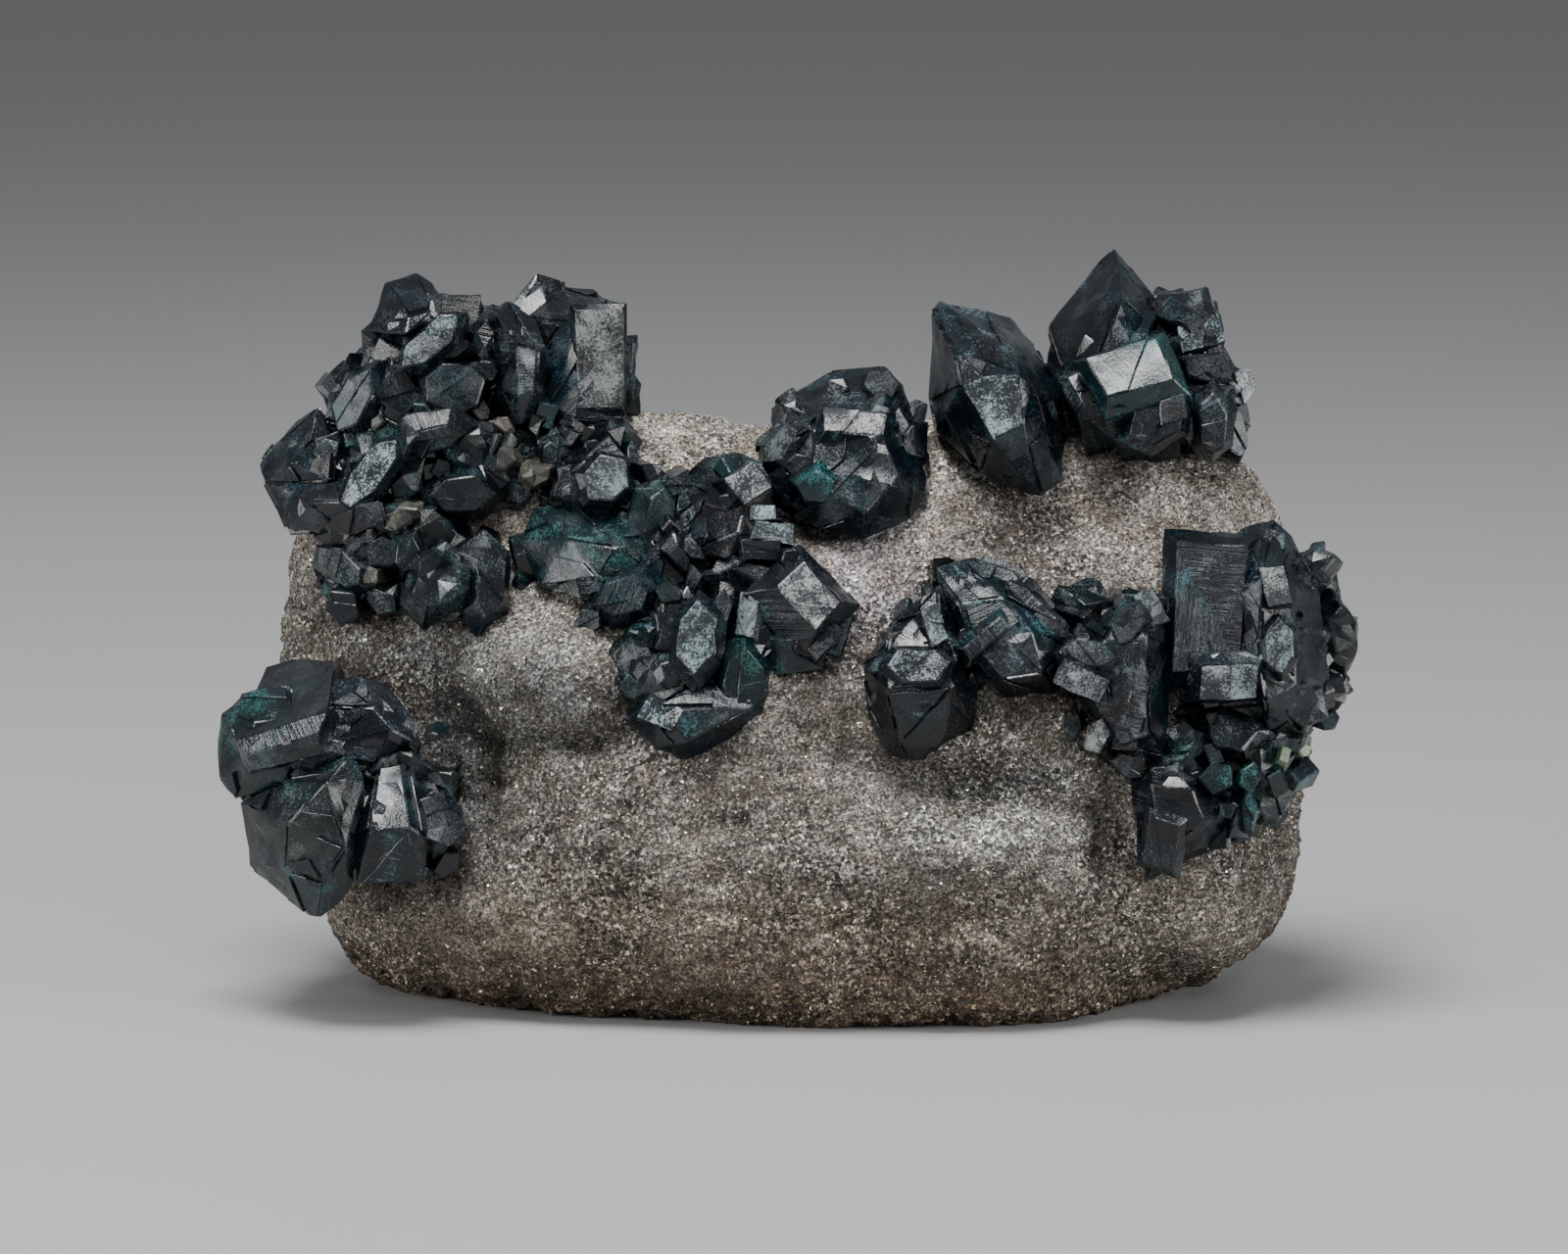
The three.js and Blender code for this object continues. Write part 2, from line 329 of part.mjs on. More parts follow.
// The large crystals whose corners are plain in the front view: the surface that the front shows, and the
// corners of their faces (across, up, out).
const WEDGES = {
  "crystals_upper_left": [
    [
      "dark", [-47.5, 119.5, -1], [-42.7, 125.2, -4], [-38.6, 124, -5], [-37.4, 120, -4], [-49, 112, 4],
      [-38, 110, 4], [-44, 123.5, -18], [-38, 121, -20], [-49, 112, -20], [-37, 110, -22],
    ],
    [
      "granular", [-70.3, 119.1, 2], [-69.1, 123.8, -3], [-63.8, 125.3, -6], [-59, 121.5, -3],
      [-57.2, 118.5, 2], [-65.5, 115, 9], [-72.1, 115.5, 4], [-66, 121, 2], [-61, 119, 5],
      [-65, 118, 7], [-68, 122, -20], [-60, 120, -20], [-64, 112, -16],
    ],
    [
      "granular", [-50.1, 118.5, 4], [-48.3, 120.5, 2], [-42.9, 117.3, 5], [-41.1, 112.5, 10],
      [-41.1, 103.6, 12], [-45.3, 98.9, 14], [-48.9, 105.4, 13], [-46.5, 113, 14], [-43, 112, 14.5],
      [-43.5, 105, 17], [-46, 104, 16.5], [-47, 114, -10], [-44, 104, -6],
    ],
    [
      "dark", [-44.7, 117.3, 2], [-38.6, 122.7, -4], [-32.8, 122.3, -4], [-27.7, 119.7, 4],
      [-27.7, 111.4, 8], [-28.1, 100, 11], [-35.8, 100, 14], [-41, 102, 12], [-35.5, 116.5, 11],
      [-35.5, 104, 14.5], [-28.6, 116, 10], [-40, 115, 6], [-40, 118, -18], [-30, 116, -18],
      [-30, 104, -10], [-40, 104, -10],
    ],
    [
      "dark", [-36.4, 95.9, 10], [-29.2, 95.3, 11], [-24.5, 89.3, 15], [-24.5, 84.6, 16],
      [-31.6, 82.8, 18], [-37.6, 85.2, 16], [-39, 92, 12], [-35, 92.5, 18], [-29.5, 93, 18],
      [-27, 87.5, 20], [-35, 86, 21], [-34, 92, 0], [-28, 90, 2], [-32, 85, 4],
    ],
    [
      "dark", [-91.1, 92.3, -2], [-88.1, 95.9, -4], [-84, 100, -4], [-80.4, 102.4, 0], [-78, 94.7, 10],
      [-78.6, 89.3, 11], [-90, 89.3, 2], [-86, 92, 6], [-82, 96, 6], [-88, 94, -16], [-82, 98, -16],
      [-82, 90, -14],
    ],
    [
      "granular", [-90, 89.3, 3], [-76, 89.5, 12], [-70, 86, 16], [-69, 82, 16], [-75, 79.8, 14],
      [-86, 81, 8], [-82, 85.5, 13], [-74, 85.5, 17], [-86, 86, -10], [-74, 84, -6],
    ],
  ],
  "crystals_centre": [
    [
      "teal", [-45.9, 79.2, 16], [-43.5, 84.6, 14], [-37.6, 85.8, 15], [-26.9, 82.8, 20],
      [-20.9, 78, 24], [-23.3, 73.3, 25], [-34, 68.5, 25], [-42.3, 70.9, 20], [-38, 79, 23],
      [-29, 77.5, 27], [-32, 72.5, 27.5], [-38, 80, 4], [-28, 76, 8], [-36, 72, 8],
    ],
    [
      "striated", [-17.9, 89.3, 16], [-13.8, 93.5, 14], [-7.8, 94.4, 14], [-3.7, 92.3, 18],
      [-1.9, 88.7, 24], [-2.5, 80, 28], [-10, 76, 28], [-17.3, 76.8, 26], [-18.5, 82.8, 21],
      [-13, 87, 23], [-7, 87, 26.5], [-8, 80.5, 29], [-14, 88, 2], [-6, 86, 4], [-10, 78, 8],
    ],
    [
      "granular", [-27.5, 48.3, 32], [-25, 55, 32], [-12, 56, 34], [-3, 54.2, 34], [-2.5, 48.3, 34],
      [-9, 44, 34], [-17.3, 40.5, 34], [-22.1, 42.3, 34], [-22, 50, 38], [-12, 50, 39], [-6, 50, 38],
      [-17, 44, 38.5], [-20, 52, 16], [-8, 52, 16], [-16, 44, 16],
    ],
  ],
  "crystals_upper_middle": [
    [
      "dark", [0.3, 104, 6], [7.7, 108, 2], [17.9, 109.3, 2], [20.7, 106, 4], [24.7, 93, 12],
      [24.3, 87, 16], [21.3, 82.5, 20], [13.6, 79, 24], [6, 81, 23], [-1.7, 88, 18], [-4.3, 93, 12],
      [5, 98, 20], [17, 98, 23], [20, 90, 25], [14, 84, 27], [5, 88, 24], [5, 104, -14], [18, 104, -14],
      [18, 86, -6], [4, 88, -6],
    ],
  ],
  "crystal_upper_right_spike": [
    [
      "dark", [27, 121, 3], [39.5, 117.3, -4], [43.5, 113, -5], [45.5, 110, -5], [26, 119.5, 0],
      [25.3, 104, 0], [30, 111.8, 17], [40, 111, 16], [31, 105.8, 22], [34.5, 107.3, 22.5],
      [40.5, 107.8, 21.5], [42.6, 105.3, 20], [41.5, 99.3, 21], [36.4, 96.6, 22], [26.5, 98.5, 6],
      [34.5, 90.3, 14], [44.5, 86.4, 15], [47.8, 89, 11], [49, 97, 4], [48.2, 104, 0], [44, 110, -18],
      [28, 116, -16], [28, 96, -16], [46, 92, -12],
    ],
  ],
  "crystals_upper_right": [
    [
      "striated", [57.3, 129.8, -5], [47.5, 119, -7], [46.2, 116.5, -6], [46, 110, -3], [47, 103.5, 1],
      [51.5, 101, 12], [58.5, 120.8, 8], [63.8, 121.8, -5], [68.5, 112, -3], [62, 101, 10],
      [49, 104, -20], [66, 108, -20], [57, 122, -16],
    ],
  ],
  "crystals_middle_right": [
    [
      "dark", [26.5, 70.5, 33], [20, 66, 34], [13.4, 57, 34], [14.5, 49, 34], [16.5, 42, 34],
      [24, 38.3, 33], [33, 46.2, 33], [34, 52.5, 34], [31, 62, 35], [18, 60, 40], [27, 61, 41],
      [29, 54, 42], [18, 53, 42.5], [20, 44, 39], [28, 45, 38], [22, 66, 20], [18, 44, 20],
      [30, 48, 20],
    ],
    [
      "striated", [26, 74.8, 30], [32.5, 76.3, 29], [38.8, 74.8, 29], [45, 67.3, 31], [51, 62, 33],
      [46.8, 52.5, 34], [37.7, 52.5, 34], [31.3, 57.8, 34], [31, 68, 37], [38, 69, 37.5],
      [43, 63, 39.5], [45, 56.5, 40], [38, 55.5, 40.5], [33.5, 60, 39], [30, 70, 18], [44, 66, 18],
      [44, 55, 18], [34, 57, 18],
    ],
  ],
  "crystals_right_step": [
    [
      "striated", [59.8, 71, 33], [66.3, 69.5, 32], [67, 60, 33], [65.8, 42, 33], [60.9, 40.5, 33],
      [55, 47, 34], [47.3, 56.3, 34], [52, 63.5, 34], [55.6, 61.5, 41], [57.8, 43.7, 40], [63, 62, 40],
      [63, 45, 38.5], [60, 68, 37], [51, 57, 40], [56, 68, 18], [64, 66, 18], [64, 44, 18],
      [52, 50, 18],
    ],
  ],
  "crystals_right_flank": [
    [
      "granular", [79.2, 81, 24], [84.8, 83, 20], [88, 80, 18], [93, 69.7, 20], [94, 57.3, 22],
      [94.5, 51, 22], [90.4, 45, 26], [84, 46, 30], [80.4, 57.3, 34], [79.2, 69.7, 33], [83, 73, 35],
      [87.5, 71, 33.5], [89, 54, 34.5], [84, 51, 36.5], [82.5, 62, 36.5], [86, 76, 2], [93, 60, 0],
      [86, 50, 2],
    ],
  ],
  "crystals_right_foot": [
    [
      "dark", [59.8, 37.7, 32], [62, 43, 32], [72.6, 40, 33], [78.9, 31.5, 31], [73.6, 25, 31],
      [63, 19.7, 32], [61, 27, 33], [64, 36.5, 38], [71, 36, 39], [73, 30, 38.5], [65.5, 26, 38],
      [64, 37, 16], [74, 32, 16], [65, 24, 16],
    ],
  ],
  "crystals_lower_left": [
    [
      "striated", [-72, 28.6, 41], [-65, 29.2, 41.5], [-62, 27, 40], [-63, 20, 38], [-74, 19.6, 38],
      [-74.5, 27, 37], [-70, 39.5, 33], [-66.5, 40.2, 33], [-62.4, 36, 32], [-72, 32, 34],
      [-61, 24, 32], [-70, 36, 16], [-62, 34, 16], [-62, 22, 16], [-73, 22, 16],
    ],
    [
      "teal", [-97.6, 49, 24], [-94.5, 51.9, 22], [-89, 53.6, 22], [-85.7, 53.4, 24], [-82.3, 48.5, 28],
      [-82.6, 46, 31], [-97.8, 37.6, 24], [-98.2, 44.4, 22], [-95, 34, 26], [-86, 36, 32],
      [-92, 47.5, 31], [-86, 48.5, 32], [-92, 41, 33], [-86, 42, 34], [-92, 48, 8], [-92, 38, 8],
      [-84, 44, 8],
    ],
    [
      "dark", [-81.6, 53, 26], [-77.5, 55, 25], [-72.8, 55, 26], [-68, 53, 28], [-64.6, 48.5, 30],
      [-64, 44, 31], [-71.4, 40.3, 33], [-80, 42, 33], [-78, 50, 31], [-71, 50, 33], [-68, 46, 34],
      [-78, 50, 10], [-68, 48, 12], [-74, 42, 10],
    ],
    [
      "broken", [-94.5, 33.5, 25], [-92.8, 22.6, 25], [-85.7, 17.5, 29], [-82.6, 14, 31],
      [-80.9, 13.6, 32], [-75.8, 17.5, 34], [-73.4, 22.6, 36], [-72.8, 38, 36], [-74.8, 42, 35],
      [-86.4, 37, 34], [-79.5, 37, 41], [-76, 26, 41.5], [-79.5, 20, 38], [-86, 30, 38.5],
      [-86, 22, 35], [-88, 32, 8], [-86, 20, 12], [-76, 34, 12],
    ],
  ],
};

// How far a crystal's corners stray from a regular outline: shares of the size, and radians round the middle.
const CORNER_JITTER = 0.1;
const BROKEN_JITTER = 0.17;
const ANGLE_JITTER = 0.16;
const SQUARE_ANGLE_JITTER = 0.05;
const ROOT_SHARE = 0.78;
const FOOT_SHARE = 1.1;
const SMALL_CRYSTAL = 10.5;

// A steady scatter between -1 and 1 for corner number n of the crystal at (across, up).
function scatter(across, up, n) {
  const wave = Math.sin(across * 12.9898 + up * 78.233 + n * 37.719) * 4375.85453;
  return 2 * (wave - Math.floor(wave)) - 1;
}

function tabletPoints(row, grow) {
  const [across, up, out, turn, tilt, roll, width, height, faceWidth, faceHeight] = row;
  const [, , , , , , , , , , shiftAcross, shiftUp, shoulder, depth, sides, surface] = row;
  const jitter = surface === "broken" ? BROKEN_JITTER : CORNER_JITTER;
  const swing = sides === 4 ? SQUARE_ANGLE_JITTER : ANGLE_JITTER;
  const turned = new THREE.Euler(
    THREE.MathUtils.degToRad(-tilt),
    THREE.MathUtils.degToRad(turn),
    THREE.MathUtils.degToRad(roll),
    "YXZ",
  );
  // Rings from the front face back to the root: share of the size, sideways shift and distance behind the face.
  const face = [faceWidth, faceHeight, shiftAcross, shiftUp, -grow];
  const widest = [1, 1, 0, 0, shoulder];
  const root = [ROOT_SHARE, ROOT_SHARE, 0, 0, shoulder + depth + grow];
  const foot = [FOOT_SHARE, FOOT_SHARE, 0, 0, shoulder + depth + grow];
  const plain = surface === "bed" || Math.max(width, height) < SMALL_CRYSTAL;
  const rings = plain ? [face, foot] : [face, widest, root];
  const first = sides === 4 ? Math.PI / 4 : 0;
  const stretch = sides === 4 ? Math.SQRT2 : 1;
  const points = [];
  rings.forEach(([shareAcross, shareUp, asideAcross, asideUp, behind]) => {
    for (let corner = 0; corner < sides; corner += 1) {
      const angle = first + (2 * Math.PI * corner) / sides + swing * scatter(across, up, 40 + corner);
      const wobble = 1 + jitter * scatter(across, up, corner);
      const local = new THREE.Vector3(
        ((width / 2 + grow) * stretch * shareAcross * Math.cos(angle)) * wobble + (asideAcross * width) / 2,
        ((height / 2 + grow) * stretch * shareUp * Math.sin(angle)) * wobble + (asideUp * height) / 2,
        -behind,
      ).applyEuler(turned);
      points.push(seen(across + local.x, up + local.y, out + local.z));
    }
  });
  return points;
}

function wedgePoints(corners, grow) {
  const points = corners.map((corner) => seen(...corner));
  const middle = points.reduce((sum, p) => sum.add(p), new THREE.Vector3()).divideScalar(points.length);
  return points.map((p) => p.addScaledVector(p.clone().sub(middle).normalize(), 2 * grow));
}

function groupSolid(name, grow) {
  const bodies = [
    ...(TABLETS[name] ?? []).map((row) => tabletPoints(row, grow)),
    ...(WEDGES[name] ?? []).map(([, ...corners]) => wedgePoints(corners, grow)),
  ];
  return bodies.map((points) => solidOf(new ConvexGeometry(points))).reduce((all, body) => all.add(body));
}

const schist = new THREE.MeshStandardMaterial({ color: 0x7d756a, roughness: 0.8, metalness: 0.1 });
const alexandrite = new THREE.MeshStandardMaterial({ color: 0x16262b, roughness: 0.35, metalness: 0 });

const specimen = new THREE.Group();

function addPiece(name, solid, material) {
  const piece = new THREE.Mesh(geometryOf(solid), material);
  piece.name = name;
  specimen.add(piece);
}

addPiece("mica_schist_matrix", largestBody(blockSolid()), schist);

const taken = [blockSolid(GAP).add(blockSolid(0, SWELL))];
for (const name of new Set([...Object.keys(TABLETS), ...Object.keys(WEDGES)])) {
  const cleared = taken.reduce((body, other) => body.subtract(other), groupSolid(name, 0));
  addPiece(name, largestBody(cleared), alexandrite);
  taken.push(groupSolid(name, GAP));
}

export default specimen;
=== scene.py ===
import math

import bmesh
import bpy
import numpy as np
from mathutils import Matrix, Vector, noise


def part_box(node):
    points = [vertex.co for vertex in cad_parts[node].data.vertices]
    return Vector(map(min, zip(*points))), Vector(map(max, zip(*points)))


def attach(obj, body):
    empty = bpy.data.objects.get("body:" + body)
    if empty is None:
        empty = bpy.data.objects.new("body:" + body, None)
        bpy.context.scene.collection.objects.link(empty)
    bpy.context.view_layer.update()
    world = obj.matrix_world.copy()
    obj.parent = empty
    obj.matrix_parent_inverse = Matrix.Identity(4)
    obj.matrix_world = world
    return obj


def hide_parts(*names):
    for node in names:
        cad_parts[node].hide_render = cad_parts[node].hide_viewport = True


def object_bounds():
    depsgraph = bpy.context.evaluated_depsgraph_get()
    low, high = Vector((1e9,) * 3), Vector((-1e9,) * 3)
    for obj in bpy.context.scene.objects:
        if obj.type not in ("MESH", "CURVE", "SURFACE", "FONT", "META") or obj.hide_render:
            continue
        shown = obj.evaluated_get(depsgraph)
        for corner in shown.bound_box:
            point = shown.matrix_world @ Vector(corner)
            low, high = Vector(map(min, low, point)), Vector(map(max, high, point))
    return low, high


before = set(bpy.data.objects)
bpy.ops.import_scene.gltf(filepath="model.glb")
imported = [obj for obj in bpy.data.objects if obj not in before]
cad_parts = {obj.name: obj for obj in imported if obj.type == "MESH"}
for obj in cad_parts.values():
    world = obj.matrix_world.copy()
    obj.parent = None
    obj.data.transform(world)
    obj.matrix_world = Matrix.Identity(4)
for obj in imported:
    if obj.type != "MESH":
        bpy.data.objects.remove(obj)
cad_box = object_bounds()

MM = 0.001
# The photo's view, in millimetres: looking down by TILT from EYE_DISTANCE at a point EYE_HEIGHT up. CENTRE_X
# and CENTRE_Y are the middle of the specimen's box, from the origin of places on the front.
TILT = math.radians(8)
EYE_DISTANCE = 1200
EYE_HEIGHT = 64
CENTRE_X = 1.2
CENTRE_Y = 6.8
PICTURE_WIDTH = 272
SENSOR_WIDTH = 36


def seen(across, up, out):
    """The point, in metres, that is seen at (across, up) and lies out towards the eye."""
    nearer = 1 - out / EYE_DISTANCE
    rise = EYE_HEIGHT + (up - EYE_HEIGHT) * nearer
    return MM * Vector((
        across * nearer - CENTRE_X,
        rise * math.sin(TILT) - out * math.cos(TILT) - CENTRE_Y,
        rise * math.cos(TILT) + out * math.sin(TILT),
    ))


def linked(name, data):
    """A new object in the scene, with this data."""
    made = bpy.data.objects.new(name, data)
    bpy.context.scene.collection.objects.link(made)
    return made


class Tree:
    """A new material's node tree, with one call for each node and places in millimetres."""

    def __init__(self, name, **surface):
        self.material = bpy.data.materials.new(name)
        self.material.use_nodes = True
        self.nodes = self.material.node_tree.nodes
        self.links = self.material.node_tree.links
        self.shader = self.nodes["Principled BSDF"]
        for socket, value in surface.items():
            self.surface(socket.replace("_", " "), value)
        place = self.add("ShaderNodeTexCoord").outputs["Object"]
        self.place = self.vector_math("SCALE", place, scale=1 / MM)

    def set(self, socket, value):
        if isinstance(value, bpy.types.NodeSocket):
            self.links.new(value, socket)
        else:
            socket.default_value = value

    def surface(self, name, value):
        self.set(self.shader.inputs[name], value)

    def add(self, kind, **settings):
        made = self.nodes.new(kind)
        for name, value in settings.items():
            setattr(made, name, value)
        return made

    def attribute(self, name):
        return self.add("ShaderNodeAttribute", attribute_name=name).outputs

    def vector_math(self, operation, first, second=None, scale=None):
        made = self.add("ShaderNodeVectorMath", operation=operation)
        self.set(made.inputs[0], first)
        if second is not None:
            self.set(made.inputs[1], second)
        if scale is not None:
            made.inputs["Scale"].default_value = scale
        return made.outputs["Value" if operation == "DOT_PRODUCT" else "Vector"]

    def math(self, operation, first, second=0.0):
        made = self.add("ShaderNodeMath", operation=operation)
        self.set(made.inputs[0], first)
        self.set(made.inputs[1], second)
        return made.outputs[0]

    def noise(self, size, detail=3.0, place=None, roughness=0.55):
        """A value from 0 to 1 that varies over size millimetres."""
        made = self.add("ShaderNodeTexNoise")
        self.set(made.inputs["Vector"], place or self.place)
        made.inputs["Scale"].default_value = 1 / size
        made.inputs["Detail"].default_value = detail
        made.inputs["Roughness"].default_value = roughness
        return made.outputs["Fac"]

    def grains(self, size):
        """Grains of about size millimetres, with the Distance from their middles and a Color each."""
        made = self.add("ShaderNodeTexVoronoi")
        self.set(made.inputs["Vector"], self.place)
        made.inputs["Scale"].default_value = 1 / size
        return made.outputs

    def ramp(self, value, *stops):
        """A colour or a grey level for each place in (place, level) stops."""
        made = self.add("ShaderNodeValToRGB")
        self.set(made.inputs["Fac"], value)
        points = made.color_ramp.elements
        while len(points) < len(stops):
            points.new(1.0)
        for point, (at, level) in zip(points, stops):
            point.position = at
            point.color = (*level, 1) if isinstance(level, tuple) else (level, level, level, 1)
        return made.outputs["Color"]

    def mix(self, share, first, second, blend="MIX"):
        """Blends two colours. A Mix node's colour sockets are its seventh and eighth."""
        made = self.add("ShaderNodeMix", data_type="RGBA", blend_type=blend)
        self.set(made.inputs[0], share)
        for socket, value in ((made.inputs[6], first), (made.inputs[7], second)):
            self.set(socket, (*value, 1) if isinstance(value, tuple) else value)
        return made.outputs[2]

    def bump(self, height, depth, strength=1.0, under=None):
        """A relief of depth millimetres."""
        made = self.add("ShaderNodeBump")
        made.inputs["Strength"].default_value = strength
        made.inputs["Distance"].default_value = depth * MM
        self.set(made.inputs["Height"], height)
        if under is not None:
            self.set(made.inputs["Normal"], under)
        return made.outputs["Normal"]


def bed(*place, face_width=0.8, depth=16):
    """The row of a broad, broken body that smaller crystals stand on."""
    return [*place, face_width, 0.8, 0, 0, 5, depth, 5, "bed"]


def full_row(row):
    """A row of TABLETS with both shares and both shifts."""
    if len(row) == 13:
        row = [*row[:9], *row[8:]]
    return row if len(row) == 16 else [*row[:10], 0, 0, *row[10:]]


